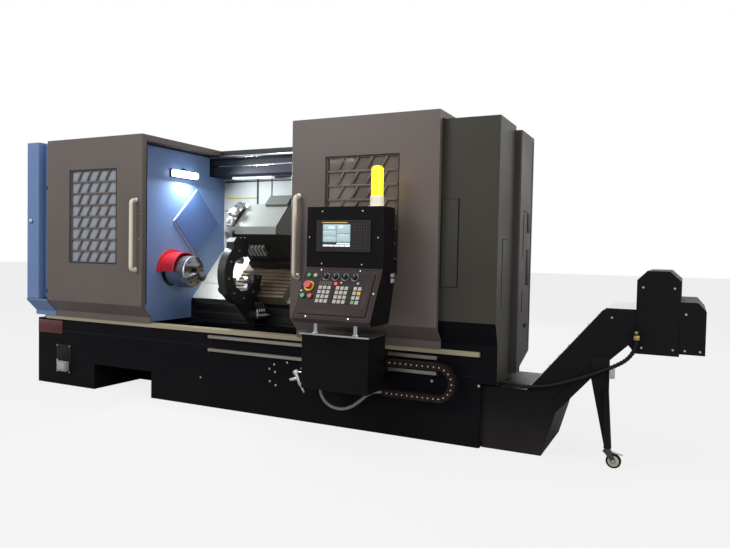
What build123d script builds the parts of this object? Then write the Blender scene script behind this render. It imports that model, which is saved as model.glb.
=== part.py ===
"""Slant-bed CNC turning lathe with sliding doors, a sliding control pendant and a chip conveyor.

Millimetres, +Z up. The machine is laid out with X from the headstock end to the chip outlet, Y from the
base front to the back and Z from the floor. Every piece is then moved so that the origin is at the floor,
in the middle of the machine's length and depth.
"""
import os
from math import cos, radians, sin, tan

from build123d import *

# Fits shared by all pieces
running_gap = 0.3
shaft_clearance = 0.05
overrun = 20
sheet = 12

# Base with a floor notch, a conveyor tunnel and a chip trough
base_length = 4050
base_depth = 1060
base_height = 570
base_edge = 6
notch_x = 702
notch_width = 640
notch_height = 212
notch_depth = 520
tunnel_x = 1400
tunnel_wall = 30
tunnel_width = 640
tunnel_top = 400
trough_end_setback = 360
trough_front_y = 70
trough_margin = 30

# Slant bed: the way covers' lower front edge is the origin of the slope
bed_angle = 45
cover_foot_from_back = 470
cover_foot_rise = 210
bed_drop = 90
bed_span = 560
bed_x0 = 300
bed_end_setback = 360
rail_width = 60
rail_height = 40
rail_low_s = 110
rail_high_s = 430
rail_x0 = 1260
rail_end_margin = 10
front_way_depth = 35
front_way_height = 40
front_way_low_rise = 30
front_way_high_rise = 98

# Headstock, spindle, chuck and drive
spindle_from_back = 735
spindle_rise = 443
headstock_x0 = 560
headstock_x1 = 1215
headstock_boss_radius = 180
headstock_foot_high_s = 545
headstock_shoulder_n = 60
headstock_waist_s = 100
spindle_radius = 75
spindle_bore_radius = 38
spindle_x0 = 400
journal_length = 90
journal_relief = 15
nose_radius = 105
nose_length = 35
nose_gap = 5
pulley_radius = 150
pulley_x0 = 420
pulley_width = 110
pulley_side_margin = 10
groove_count = 5
groove_depth = 8
motor_from_back = 640
motor_rise = 990
motor_body_width = 300
motor_edge = 30
motor_x0 = 580
motor_x1 = 1080
motor_pulley_radius = 90
motor_shaft_radius = 28
motor_shaft_depth = 60
pedestal_x0 = 640
pedestal_x1 = 1020
pedestal_inset = 25
belt_thickness = 10
chuck_radius = 132
chuck_x1 = 1490
chuck_length = 150
chuck_edge = 6
adapter_radius = 118
jaw_width = 40
jaw_slot_depth = 25
jaw_inner_radius = 50
jaw_outer_radius = 125
jaw_step = 25
jaw_projection = 70
jaw_tip_length = 20
jaw_count = 3
guard_radius = 162
guard_flange_radius = 184
guard_wall = 10
guard_length = 150

# Way covers, from the headstock to the carriage and from the carriage to the right wall
cover_sheet = 3
cover_step = 8
cover_high_s = 565
cover_low_s = -10
cover_skirt = 72
left_cover_length = 400
right_cover_overlap = 150
wiper_width = 14

# Carriage, cross slide and turret
carriage_x0 = 1690
carriage_x1 = 2230
saddle_low_s = -14
saddle_high_s = 558
saddle_bottom_n = -20
saddle_top_n = 60
apron_slats = 8
apron_slat_rise = 14
apron_end_s = 300
cross_plate_low_s = 300
cross_plate_high_s = 600
cross_plate_bottom_n = 80
cross_plate_top_n = 140
cross_plate_margin = 25
cross_key_width = 90
turret_housing_x0 = 1766
turret_housing_x1 = 2180
turret_housing_low_s = 330
turret_housing_high_s = 700
turret_housing_top_n = 500
turret_housing_edge = 45
drive_cover_length = 220
drive_cover_low_s = 620
drive_cover_high_s = 735
drive_cover_bottom_n = 430
drive_cover_top_n = 525
fin_count = 5
fin_pitch = 36
fin_width = 18
fin_reach = 40
fin_inset = 80
fin_bottom_n = 240
fin_top_n = 330
turret_s = 500
turret_radius = 185
turret_width = 88
turret_gap = 3
turret_stations = 12
turret_spigot_radius = 70
turret_spigot_length = 40
holder_width = 62
holder_height = 40
holder_length = 76
shank_size = 25
shank_reach = 20

# Tailstock
tailstock_left_setback = 870
tailstock_right_setback = 570
tailstock_half_width = 110
quill_radius = 50
quill_setback = 1000
quill_tail = 20
center_length = 90
center_radius = 36
center_tip_radius = 3

# Steady rest
steady_x0 = 1930
steady_x1 = 2000
steady_outer_radius = 245
steady_inner_radius = 138
quill_rod_radius = 22
quill_tip_radius = 105
quill_rod_length = 120
quill_roller_radius = 26
quill_roller_width = 34
quill_boss_radius = 40
quill_boss_reach = 260
steady_head_front = 135
steady_head_back = 55
steady_head_height = 285
steady_head_edge = 32
steady_gap_start = 16
steady_gap_end = 94
steady_gap_reach = 500
foot_bottom_rise = 15
foot_top_rise = 142
foot_toe_from_back = 560
foot_knee_from_back = 520
foot_knee_rise = 205

# Enclosure
enclosure_reach = 100
fixed_front_y = -50
enclosure_height = 1475
fixed_roof_from_back = 262
fixed_knee_rise = 190
fixed_skirt_rise = 120
fixed_skirt_y = 10
bulkhead_x = 1250
bulkhead_thickness = 25
bulkhead_hole_radius = 125
plate_half = 205
plate_thickness = 12
plate_center_from_back = 433
plate_center_rise = 870
plate_edge = 4
end_wall_setback = 350
rear_wall_from_back = 45
rear_wall_thickness = 15
beam_front_from_back = 215
beam_bottom_drop = 183
beam_top_rise = 50
beam_edge = 20
ledge_depth = 45
ledge_bottom_drop = 25
back_gap = 5
back_thickness = 15
back_end_setback = 310
back_rib_count = 7
back_rib_depth = 5
back_rib_width = 60
nose_end_x = 255

# Left service door
service_x0 = 3
service_width = 147
service_front_y = -115
service_bottom_rise = 175
service_top_rise = 47
service_wall = 5
hinge_round = 9
hinge_barrel_radius = 8
hinge_pin_radius = 4
hinge_pin_length = 40
latch_x = 64
latch_rise = 848
latch_radius = 15
latch_height = 9

# Sliding doors
door_front_y = -115
door_thickness = 45
door_top_rise = 50
door_knee_rise = 175
door_foot_y = -20
door_foot_sheet = 15
left_door_x0 = 260
left_door_x1 = 1342
right_door_left_setback = 1331
right_door_right_setback = 261
door_edge = 4
window_width = 524
window_bottom_rise = 506
window_top_drop = 214
grille_recess = 6
grille_thickness = 8
grille_rows = 8
grille_columns = 5
grille_pane_width_share = 0.66
grille_pane_height_share = 0.80
grille_slant_share = 0.36
glass_thickness = 6
glass_setback = 20
handle_offset = 62
handle_bottom_rise = 460
handle_top_rise = 1006
handle_radius = 15
handle_reach = 50
handle_bend = 28
track_x0 = 117
track_setback = 10
track_height = 30
track_front_y = -12
track_back_y = 70
track_groove_width = 16
track_groove_depth = 8

# Right end
right_cover_setback = 880
right_knee_rise = 215
right_skirt_rise = 70
right_skirt_y = 8
right_side_back_y = 340
right_side_bottom_z = 404
right_skirt_depth = 22
access_left_setback = 255
access_right_setback = 152
access_low_rise = 430
access_high_rise = 975
access_rise = 6
cabinet_setback = 305
cabinet_reach = 138
cabinet_front_y = 345
cabinet_back_y = 720
cabinet_top_drop = 25
cabinet_low_front_drop = 140
cabinet_low_back_drop = 30
cabinet_edge = 8

# Work lamp on the bulkhead
lamp_front_from_back = 760
lamp_rear_from_back = 480
lamp_drop = 205
lamp_height = 56
lamp_depth = 60
lamp_round = 20

# Pendant on its rails
rail_x_start = 1937
rail_end_setback = 280
pendant_rail_depth = 30
pendant_rail_height = 22
upper_rail_drop = 27
lower_rail_drop = 126
column_left_setback = 1095
column_right_setback = 616
column_front_y = -340
column_back_y = -75
column_bottom_drop = 248
column_top_rise = 102
column_plate = 10
column_edge = 8
shoe_width = 90
shoe_height = 44
post_radius = 15
post_inset = 96
post_y = -318
pendant_left_setback = 1031
pendant_right_setback = 499
box_front_y = -400
box_back_y = -225
box_top_rise = 913
console_top_rise = 537
console_bottom_y = -565
console_bottom_rise = 230
console_lip_y = -545
console_lip_rise = 202
console_back_y = -290
console_back_rise = 430
pendant_edge = 6
display_left_setback = 954
display_right_setback = 579
display_low_rise = 633
display_high_rise = 829
display_rise = 12
display_edge = 4
screen_depth = 4
screen_margin = 16
screen_left_margin = 43
screen_width = 200
screen_bottom_margin = 31
screen_top_margin = 22
key_rise = 3
display_key_columns = 6
display_key_rows = 9
key_fill_share = 0.72
panel_margin = 36
panel_top_margin = 40
panel_bottom_margin = 30
panel_rise = 6
knob_v = 66
knob_u_start = 170
knob_pitch = 66
knob_count = 4
knob_radius = 18
knob_height = 20
panel_key_v = 140
panel_key_u = 150
panel_key_pitch = 30
panel_key_columns = 10
panel_key_rows = 4
panel_key_size = 22
lamp_button_count = 2
lamp_button_u = 50
lamp_button_pitch = 46
lamp_button_v = 62
lamp_button_radius = 12
button_radius = 14
button_height = 10
button_travel = 4
button_v = 204
button_u = 44
button_pitch = 52
estop_u = 68
estop_v = 134
estop_radius = 24
estop_height = 26
stem_radius = 8
stem_length = 24
stem_bore_depth = 32
beacon_setback = 591
beacon_y = -300
beacon_base_radius = 42
beacon_lens_radius = 37
beacon_base_rise = 982
beacon_top_rise = 1166
beacon_dome = 24

# Cable chain beside the pendant
chain_pitch = 36
chain_link_gap = 0.6
chain_height = 44
chain_width = 46
chain_wall = 8
chain_y = -88
chain_upper_drop = 70
chain_lower_drop = 270
chain_bend_setback = 250
chain_fixed_setback = 588
chain_moving_setback = 603.5
bracket_thickness = 12
bracket_overlap = 60

# Grey conduit from the column to the chain
conduit_diameter = 22
conduit_inset = 40
conduit_offsets = [
    (0, -150, 0), (0, -150, -52), (19, -149, -98), (53, -146, -134), (98, -138, -156), (154, -127, -162),
    (213, -115, -144), (271, -104, -100), (327, -95, -47), (383, -88, -22), (439, -88, -22),
]
arc_share = 0.45

# Chip conveyor
conveyor_y0 = 40
conveyor_width = 620
conveyor_x0 = 1410
conveyor_bottom_z = 35
conveyor_deck_z = 390
tank_left_reach = 6
tank_right_reach = 372
heel_reach = 452
conveyor_heel_z = 274
incline_foot_reach = 280
incline_top_reach = 705
incline_top_z = 905
incline_belly_reach = 750
incline_belly_z = 618
head_left_reach = 877
head_neck_reach = 841
head_neck_z = 707
head_bottom_z = 664
head_shoulder_z = 1080
head_top_z = 1133
head_top_left_reach = 928
head_top_right_reach = 1044
head_right_reach = 1102
tray_wall = 16
tray_floor_z = 120
tray_end_setback = 360
slat_pitch = 152
slat_height = 14
slat_thickness = 10
slat_bed = 6
chute_reach = 1230
chute_bottom_z = 679
chute_slope_z = 919
chute_top_reach = 1189
chute_top_z = 966
chute_wall = 8
top_plate_thickness = 8
top_plate_margin = 8
gland_reach = 885
gland_half = 20
gland_z = 770
gland_height = 30
gland_y0 = 4
leg_top_left_reach = 647
leg_top_right_reach = 747
leg_top_z = 560
leg_shoulder_z = 500
leg_waist_z = 440
leg_bottom_left_reach = 730
leg_bottom_right_reach = 770
leg_bottom_z = 110
leg_plate = 8
leg_front_y = 8

# Caster under the conveyor leg
caster_reach = 750
caster_y = 23
caster_trail = 34
wheel_radius = 42
wheel_width = 22
wheel_edge = 5
fork_plate = 4
fork_gap = 2
fork_top_z = 96
fork_top_thickness = 8
fork_half_length = 24
axle_radius = 6
king_pin_radius = 9
king_pin_depth = 30

# Conduit clipped along the conveyor
hose_diameter = 26
hose_offsets = [
    (0, 19, 430), (62, 19, 430), (162, 17, 412), (270, 17, 424), (378, 17, 454), (482, 17, 494),
    (578, 17, 536), (666, 20, 580), (730, 22, 619), (767, 23, 665), (785, 24, 716), (785, 24, 770),
]

# Heights above the base and below the enclosure top
fixed_top_z = base_height + enclosure_height
cover_foot_z = base_height + cover_foot_rise
front_way_low_z = base_height + front_way_low_rise
front_way_high_z = base_height + front_way_high_rise
spindle_z = base_height + spindle_rise
motor_z = base_height + motor_rise
foot_bottom_z = base_height + foot_bottom_rise
foot_top_z = base_height + foot_top_rise
foot_knee_z = base_height + foot_knee_rise
fixed_knee_z = base_height + fixed_knee_rise
fixed_skirt_z = base_height + fixed_skirt_rise
plate_center_z = base_height + plate_center_rise
service_bottom_z = base_height + service_bottom_rise
latch_z = base_height + latch_rise
door_knee_z = base_height + door_knee_rise
window_bottom_z = base_height + window_bottom_rise
handle_bottom_z = base_height + handle_bottom_rise
handle_top_z = base_height + handle_top_rise
right_knee_z = base_height + right_knee_rise
right_skirt_z = base_height + right_skirt_rise
access_z0 = base_height + access_low_rise
access_z1 = base_height + access_high_rise
cabinet_low_front_z = base_height - cabinet_low_front_drop
cabinet_low_back_z = base_height - cabinet_low_back_drop
upper_rail_z = base_height - upper_rail_drop
lower_rail_z = base_height - lower_rail_drop
column_bottom_z = base_height - column_bottom_drop
column_top_z = base_height + column_top_rise
box_top_z = base_height + box_top_rise
console_top_z = base_height + console_top_rise
console_bottom_z = base_height + console_bottom_rise
console_lip_z = base_height + console_lip_rise
console_rise_z = base_height + console_back_rise
display_z0 = base_height + display_low_rise
display_z1 = base_height + display_high_rise
beacon_base_top_z = base_height + beacon_base_rise
beacon_top_z = base_height + beacon_top_rise
chain_upper_z = base_height - chain_upper_drop
chain_lower_z = base_height - chain_lower_drop
beam_bottom_z = fixed_top_z - beam_bottom_drop
beam_top_z = fixed_top_z + beam_top_rise
ledge_bottom_z = fixed_top_z - ledge_bottom_drop
service_top_z = fixed_top_z + service_top_rise
door_top_z = fixed_top_z + door_top_rise
window_top_z = fixed_top_z - window_top_drop
cabinet_top_z = fixed_top_z - cabinet_top_drop
lamp_z = fixed_top_z - lamp_drop

# Lengths from the right end of the base
trough_end_x = base_length - trough_end_setback
bed_x1 = base_length - bed_end_setback
tailstock_x0 = base_length - tailstock_left_setback
tailstock_x1 = base_length - tailstock_right_setback
quill_x0 = base_length - quill_setback
enclosure_length = base_length + enclosure_reach
end_wall_x = base_length - end_wall_setback
back_end_x = base_length - back_end_setback
right_door_x0 = base_length - right_door_left_setback
right_door_x1 = base_length - right_door_right_setback
track_x1 = base_length - track_setback
right_cover_x0 = base_length - right_cover_setback
access_x0 = base_length - access_left_setback
access_x1 = base_length - access_right_setback
cabinet_x0 = base_length - cabinet_setback
cabinet_x1 = base_length + cabinet_reach
rail_x_end = base_length - rail_end_setback
column_x0 = base_length - column_left_setback
column_x1 = base_length - column_right_setback
pendant_x0 = base_length - pendant_left_setback
pendant_x1 = base_length - pendant_right_setback
display_x0 = base_length - display_left_setback
display_x1 = base_length - display_right_setback
beacon_x = base_length - beacon_setback
chain_bend_x = base_length - chain_bend_setback
chain_fixed_x = base_length - chain_fixed_setback
chain_moving_x = base_length - chain_moving_setback
conveyor_tank_x0 = base_length + tank_left_reach
conveyor_tank_x1 = base_length + tank_right_reach
conveyor_heel_x = base_length + heel_reach
incline_foot_x = base_length + incline_foot_reach
incline_top_x = base_length + incline_top_reach
incline_belly_x = base_length + incline_belly_reach
head_x0 = base_length + head_left_reach
head_neck_x = base_length + head_neck_reach
head_top_x0 = base_length + head_top_left_reach
head_top_x1 = base_length + head_top_right_reach
head_x1 = base_length + head_right_reach
tray_end_x = base_length - tray_end_setback
chute_x1 = base_length + chute_reach
chute_top_x = base_length + chute_top_reach
gland_x = base_length + gland_reach
leg_top_x0 = base_length + leg_top_left_reach
leg_top_x1 = base_length + leg_top_right_reach
leg_bottom_x0 = base_length + leg_bottom_left_reach
leg_bottom_x1 = base_length + leg_bottom_right_reach
caster_x = base_length + caster_reach

# Depths from the back of the base
back_y = base_depth + back_gap
cover_foot_y = base_depth - cover_foot_from_back
spindle_y = base_depth - spindle_from_back
motor_y = base_depth - motor_from_back
foot_toe_y = base_depth - foot_toe_from_back
foot_knee_y = base_depth - foot_knee_from_back
plate_center_y = base_depth - plate_center_from_back
lamp_y0 = base_depth - lamp_front_from_back
lamp_y1 = base_depth - lamp_rear_from_back
beam_front_y = base_depth - beam_front_from_back
fixed_roof_y = base_depth - fixed_roof_from_back
rear_wall_y = base_depth - rear_wall_from_back
trough_width = cover_foot_y - trough_front_y - trough_margin

# Cover and cord sizes that follow
right_cover_length = (end_wall_x - carriage_x1 + right_cover_overlap) / 2
conduit_x = column_x0 + conduit_inset
conduit_route = [(conduit_x + x, y, column_bottom_z + z) for x, y, z in conduit_offsets]
hose_route = [(enclosure_length + x, y, z) for x, y, z in hose_offsets]

# Sizes worked out from the ones above
track_top = base_height + track_height
conveyor_y1 = conveyor_y0 + conveyor_width
y_front = console_bottom_y
y_back = back_y + back_thickness
to_frame = Pos(-chute_x1 / 2, -(y_front + y_back) / 2, 0)
seated = (Align.CENTER, Align.CENTER, Align.MIN)


def slope_point(s, n):
    """Point (y, z) at s up the slope and n above it."""
    run = cos(radians(bed_angle))
    rise = sin(radians(bed_angle))
    return (cover_foot_y + s * run - n * rise, cover_foot_z + s * rise + n * run)


spindle_s = (spindle_y - cover_foot_y) * cos(radians(bed_angle)) + (spindle_z - cover_foot_z) * sin(
    radians(bed_angle)
)
spindle_n = (spindle_z - cover_foot_z) * cos(radians(bed_angle)) - (spindle_y - cover_foot_y) * sin(
    radians(bed_angle)
)
bed_front_y, bed_front_z = slope_point(0, -bed_drop)
way_face_y = bed_front_y - front_way_depth
spindle_axis = Axis((0, spindle_y, spindle_z), (1, 0, 0))
turret_y, turret_z = slope_point(turret_s, spindle_n)
turret_axis = Axis((0, turret_y, turret_z), (1, 0, 0))


def block(x0, x1, y0, y1, z0, z1):
    """Block between two corners."""
    return Pos((x0 + x1) / 2, (y0 + y1) / 2, (z0 + z1) / 2) * Box(x1 - x0, y1 - y0, z1 - z0)


def profile_x(points, x0, x1):
    """Outline in Y and Z, drawn out along X."""
    plane = Plane(origin=(x0, 0, 0), x_dir=(0, 1, 0), z_dir=(1, 0, 0))
    return extrude(plane * make_face(Polyline(*points, close=True)), amount=x1 - x0)


def profile_y(points, y0, y1):
    """Outline in X and Z, drawn out along Y."""
    plane = Plane(origin=(0, y1, 0), x_dir=(1, 0, 0), z_dir=(0, -1, 0))
    return extrude(plane * make_face(Polyline(*points, close=True)), amount=y1 - y0)


def slope_profile(points, x0, x1):
    """Outline in slope coordinates, drawn out along X."""
    return profile_x([slope_point(s, n) for s, n in points], x0, x1)


def slope_block(s0, s1, n0, n1, x0, x1):
    """Block that lies on the slope."""
    return slope_profile([(s0, n0), (s1, n0), (s1, n1), (s0, n1)], x0, x1)


def rod(start, direction, radius, length):
    """Round bar from a point along a direction."""
    seat = Plane(origin=start, z_dir=direction)
    return seat.location * Cylinder(radius, length, align=seated)


def rod_x(radius, x0, x1, y=spindle_y, z=spindle_z):
    """Round bar along X."""
    return rod((x0, y, z), (1, 0, 0), radius, x1 - x0)


def base_casting():
    """Base with the floor notch in front, the conveyor tunnel and the chip trough above it."""
    body = block(0, base_length, 0, base_depth, 0, base_height)
    body = chamfer(body.edges().filter_by(Axis.Z), base_edge)
    body -= block(notch_x, notch_x + notch_width, -overrun, notch_depth, -overrun, notch_height)
    tunnel_back_y = tunnel_wall + tunnel_width
    body -= block(tunnel_x, base_length + overrun, tunnel_wall, tunnel_back_y, tunnel_wall, tunnel_top)
    trough_back_y = trough_front_y + trough_width
    trough_top = base_height + overrun
    body -= block(tunnel_x, trough_end_x, trough_front_y, trough_back_y, tunnel_top - overrun, trough_top)
    return body


def slant_bed():
    """Bed casting with its ways on the slope."""
    high_y, high_z = slope_point(bed_span, -bed_drop)
    outline = [
        (bed_front_y, base_height), (bed_front_y, bed_front_z), (high_y, high_z), (high_y, base_height),
    ]
    return profile_x(outline, bed_x0, bed_x1)


def bed_guideways():
    """Two linear rails on the slope and two on the bed's upright front."""
    x1 = bed_x1 - rail_end_margin
    rails = []
    for s in (rail_low_s, rail_high_s):
        rails.append(slope_block(s, s + rail_width, -bed_drop, rail_height - bed_drop, rail_x0, x1))
    for z in (front_way_low_z, front_way_high_z):
        rails.append(block(rail_x0, x1, way_face_y, bed_front_y, z, z + front_way_height))
    return rails


def headstock():
    """Headstock casting with spindle bore and motor pedestal."""
    boss_s = spindle_s + headstock_boss_radius
    outline = [
        (0, -bed_drop),
        (headstock_foot_high_s, -bed_drop),
        (headstock_foot_high_s, headstock_shoulder_n),
        (boss_s, spindle_n),
        (spindle_s, spindle_n),
        (spindle_s - headstock_boss_radius, spindle_n),
        (-headstock_waist_s, headstock_shoulder_n),
    ]
    body = slope_profile(outline, headstock_x0, headstock_x1)
    body += rod_x(headstock_boss_radius, headstock_x0, headstock_x1)
    motor_bottom_z = motor_z - motor_body_width / 2
    half = motor_body_width / 2 - pedestal_inset
    body += block(pedestal_x0, pedestal_x1, motor_y - half, motor_y + half, spindle_z, motor_bottom_z)
    body -= rod_x(spindle_radius + shaft_clearance, headstock_x0 - overrun, headstock_x1 + overrun)
    relief_x0 = headstock_x0 + journal_length
    body -= rod_x(spindle_radius + journal_relief, relief_x0, headstock_x1 - journal_length)
    return body


def pulley(radius, y, z):
    """Grooved belt pulley along X."""
    body = rod_x(radius, pulley_x0, pulley_x0 + pulley_width, y, z)
    pitch = (pulley_width - 2 * pulley_side_margin) / groove_count
    for index in range(groove_count):
        x0 = pulley_x0 + pulley_side_margin + (index + 1 / 4) * pitch
        cut = rod_x(radius + overrun, x0, x0 + pitch / 2, y, z)
        body -= cut - rod_x(radius - groove_depth, x0, x0 + pitch / 2, y, z)
    return body


def spindle():
    """Hollow spindle with its nose flange and belt pulley."""
    nose_x0 = bulkhead_x + nose_gap
    body = rod_x(spindle_radius, spindle_x0, nose_x0)
    body += rod_x(nose_radius, nose_x0, nose_x0 + nose_length)
    body += pulley(pulley_radius, spindle_y, spindle_z)
    return body - rod_x(spindle_bore_radius, spindle_x0 - overrun, nose_x0 + nose_length + overrun)


def spindle_motor():
    """Motor body on the headstock pedestal, bored for its shaft."""
    half = motor_body_width / 2
    body = block(motor_x0, motor_x1, motor_y - half, motor_y + half, motor_z - half, motor_z + half)
    body = chamfer(body.edges().filter_by(Axis.X), motor_edge)
    shaft_hole = motor_shaft_radius + shaft_clearance
    hole_end = motor_x0 + motor_shaft_depth + overrun
    return body - rod_x(shaft_hole, motor_x0 - overrun, hole_end, motor_y, motor_z)


def motor_pulley():
    """Small pulley on the motor shaft."""
    body = pulley(motor_pulley_radius, motor_y, motor_z)
    return body + rod_x(motor_shaft_radius, pulley_x0, motor_x0 + motor_shaft_depth, motor_y, motor_z)


def drive_belt():
    """Belt that runs round both pulleys."""
    plane = Plane(origin=(pulley_x0 + pulley_side_margin, 0, 0), x_dir=(0, 1, 0), z_dir=(1, 0, 0))
    width = pulley_width - 2 * pulley_side_margin

    def loop(extra):
        ends = Pos(spindle_y, spindle_z) * Circle(pulley_radius + extra)
        ends += Pos(motor_y, motor_z) * Circle(motor_pulley_radius + extra)
        return make_hull(ends.edges())

    return extrude(plane * (loop(running_gap + belt_thickness) - loop(running_gap)), amount=width)


def chuck_body():
    """Three-jaw chuck with its adapter, bore and jaw slots."""
    x0 = chuck_x1 - chuck_length
    body = rod_x(chuck_radius, x0, chuck_x1)
    body = chamfer(body.edges().filter_by(GeomType.CIRCLE), chuck_edge)
    body += rod_x(adapter_radius, bulkhead_x + nose_gap + nose_length, x0)
    body -= rod_x(spindle_bore_radius, bulkhead_x, chuck_x1 + overrun)
    half = jaw_width / 2
    slot = block(
        chuck_x1 - jaw_slot_depth, chuck_x1 + overrun, spindle_y - half, spindle_y + half,
        spindle_z, spindle_z + chuck_radius + overrun,
    )
    for index in range(jaw_count):
        body -= slot.rotate(spindle_axis, index * 360 / jaw_count)
    return body


def chuck_jaw(index):
    """Stepped jaw that slides in its slot of the chuck face."""
    foot_x = chuck_x1 - jaw_slot_depth + running_gap
    tip_x = chuck_x1 + jaw_projection
    inner_z = spindle_z + jaw_inner_radius
    outer_z = spindle_z + jaw_outer_radius
    outline = [
        (foot_x, inner_z), (tip_x, inner_z), (tip_x, inner_z + jaw_step),
        (tip_x - jaw_tip_length, inner_z + jaw_step), (tip_x - jaw_tip_length, inner_z + 2 * jaw_step),
        (tip_x - 2 * jaw_tip_length, inner_z + 2 * jaw_step), (tip_x - 2 * jaw_tip_length, outer_z),
        (foot_x, outer_z),
    ]
    half = jaw_width / 2 - running_gap
    jaw = profile_y(outline, spindle_y - half, spindle_y + half)
    return jaw.rotate(spindle_axis, index * 360 / jaw_count)


def chuck_guard():
    """Half-round guard over the chuck's back, with a flange on the bulkhead."""
    x1 = bulkhead_x + guard_length
    body = rod_x(guard_radius, bulkhead_x, x1)
    body += rod_x(guard_flange_radius, bulkhead_x, bulkhead_x + guard_wall)
    body -= rod_x(guard_radius - guard_wall, bulkhead_x - overrun, x1 + overrun)
    reach = guard_flange_radius + overrun
    below = block(
        bulkhead_x - overrun, x1 + overrun, spindle_y - reach, spindle_y + reach, spindle_z - reach, spindle_z
    )
    return body - below


def way_cover(level, x0, x1, wiper_side):
    """Folded cover sheet on the slope, nested under the one before it, with a wiper at its free edge."""
    top = -level * cover_step
    under = top - cover_sheet
    low = cover_low_s + level * cover_step
    outline = [
        (low, top), (cover_high_s, top), (cover_high_s, under), (low + cover_sheet, under),
        (low + cover_sheet, top - cover_skirt), (low, top - cover_skirt),
    ]
    cover = slope_profile(outline, x0, x1)
    if wiper_side:
        edge_x = x1 if wiper_side > 0 else x0
        wiper_x = sorted((edge_x, edge_x - wiper_side * wiper_width))
        low_n = top - cover_step + running_gap
        cover += slope_block(low + cover_step, cover_high_s, low_n, under, *wiper_x)
    return cover


def left_way_covers():
    """Three nested sheets between the bulkhead and the carriage."""
    stride = (carriage_x0 - bulkhead_x - left_cover_length) / 2
    starts = [bulkhead_x, bulkhead_x + stride, bulkhead_x + 2 * stride]
    wipers = (1, 1, 0)
    return [
        way_cover(level, x0, x0 + left_cover_length, side)
        for level, (x0, side) in enumerate(zip(starts, wipers))
    ]


def right_way_covers():
    """Two nested sheets between the carriage and the right wall."""
    fixed = way_cover(0, end_wall_x - right_cover_length, end_wall_x, -1)
    moving = way_cover(1, carriage_x1, carriage_x1 + right_cover_length, 0)
    return fixed, moving


def carriage():
    """Saddle on the slope rails, with a slatted apron below the cross slide."""
    rise = apron_slat_rise
    pitch = (apron_end_s - saddle_low_s) / apron_slats
    outline = [
        (saddle_low_s, saddle_bottom_n), (saddle_high_s, saddle_bottom_n), (saddle_high_s, saddle_top_n),
    ]
    for index in reversed(range(apron_slats)):
        low = saddle_low_s + index * pitch
        outline.append((low + pitch, saddle_top_n))
        outline.append((low, saddle_top_n + rise))
    body = slope_profile(outline, carriage_x0, carriage_x1)
    shoe_bottom = rail_height - bed_drop + running_gap
    for s in (rail_low_s, rail_high_s):
        body += slope_block(s, s + rail_width, shoe_bottom, saddle_bottom_n, carriage_x0, carriage_x1)
    mid_x = (carriage_x0 + carriage_x1) / 2
    for side in (-1, 1):
        key_x = mid_x + side * (carriage_x1 - carriage_x0) / 4
        key_top = cross_plate_bottom_n - running_gap
        key_span = (key_x - cross_key_width / 2, key_x + cross_key_width / 2)
        body += slope_block(apron_end_s, saddle_high_s, saddle_top_n, key_top, *key_span)
    return body


def cross_slide():
    """Cross slide plate with the turret housing, its drive cover and a row of fins on it."""
    x1 = carriage_x1 - cross_plate_margin
    plate_n = (cross_plate_bottom_n, cross_plate_top_n)
    body = slope_block(cross_plate_low_s, cross_plate_high_s, *plate_n, turret_housing_x0, x1)
    edge = turret_housing_edge
    low = turret_housing_low_s
    high = turret_housing_high_s
    top = turret_housing_top_n
    outline = [
        (low, cross_plate_top_n), (cross_plate_high_s, cross_plate_top_n), (high, spindle_n),
        (high, top - edge), (high - edge, top), (low + edge, top), (low, top - edge),
    ]
    body += slope_profile(outline, turret_housing_x0, turret_housing_x1)
    cover_n = (drive_cover_bottom_n, drive_cover_top_n)
    cover_x0 = turret_housing_x1 - drive_cover_length
    body += slope_block(drive_cover_low_s, drive_cover_high_s, *cover_n, cover_x0, turret_housing_x1)
    for index in range(fin_count):
        fin_x = turret_housing_x0 + fin_inset + index * fin_pitch
        body += slope_block(low - fin_reach, low, fin_bottom_n, fin_top_n, fin_x, fin_x + fin_width)
    spigot = turret_spigot_radius + shaft_clearance
    spigot_end = turret_housing_x0 + turret_spigot_length + running_gap
    return body - rod_x(spigot, turret_housing_x0 - overrun, spigot_end, turret_y, turret_z)


def turret_disc():
    """Twelve-sided tool disc with a holder on each flat and a tool in every other one."""
    x1 = turret_housing_x0 - turret_gap
    x0 = x1 - turret_width
    plane = Plane(origin=(x0, turret_y, turret_z), x_dir=(0, 1, 0), z_dir=(1, 0, 0))
    body = extrude(plane * RegularPolygon(turret_radius, turret_stations), amount=turret_width)
    body += rod_x(turret_spigot_radius, x1, x1 + turret_gap + turret_spigot_length, turret_y, turret_z)
    flat_radius = turret_radius * cos(radians(180 / turret_stations))
    half = holder_width / 2
    mid_x = (x0 + x1) / 2
    holder = block(
        mid_x - holder_length / 2, mid_x + holder_length / 2, turret_y - half, turret_y + half,
        turret_z + flat_radius, turret_z + flat_radius + holder_height,
    )
    tool = block(
        mid_x - shank_size / 2, mid_x + shank_size / 2, turret_y - shank_size / 2, turret_y + shank_size / 2,
        turret_z + flat_radius + holder_height, turret_z + flat_radius + holder_height + shank_reach,
    )
    for index in range(turret_stations):
        angle = (index + 1 / 2) * 360 / turret_stations
        station = holder if index % 2 else holder + tool
        body += station.rotate(turret_axis, angle)
    return body


def tailstock_body():
    """Tailstock on the bed's front ways, bored for its quill."""
    seat_y = way_face_y - running_gap
    half = tailstock_half_width
    outline = [
        (seat_y, foot_bottom_z), (seat_y, foot_top_z), (foot_knee_y, foot_knee_z),
        (spindle_y + half, spindle_z - half), (spindle_y + half, spindle_z + half / 2),
        (spindle_y + half / 2, spindle_z + half), (spindle_y - half / 2, spindle_z + half),
        (spindle_y - half, spindle_z + half / 2), (spindle_y - half, spindle_z - half / 2),
        (foot_toe_y, foot_bottom_z),
    ]
    body = profile_x(outline, tailstock_x0, tailstock_x1)
    return body - rod_x(quill_radius + shaft_clearance, tailstock_x0 - overrun, tailstock_x1 + overrun)


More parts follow.
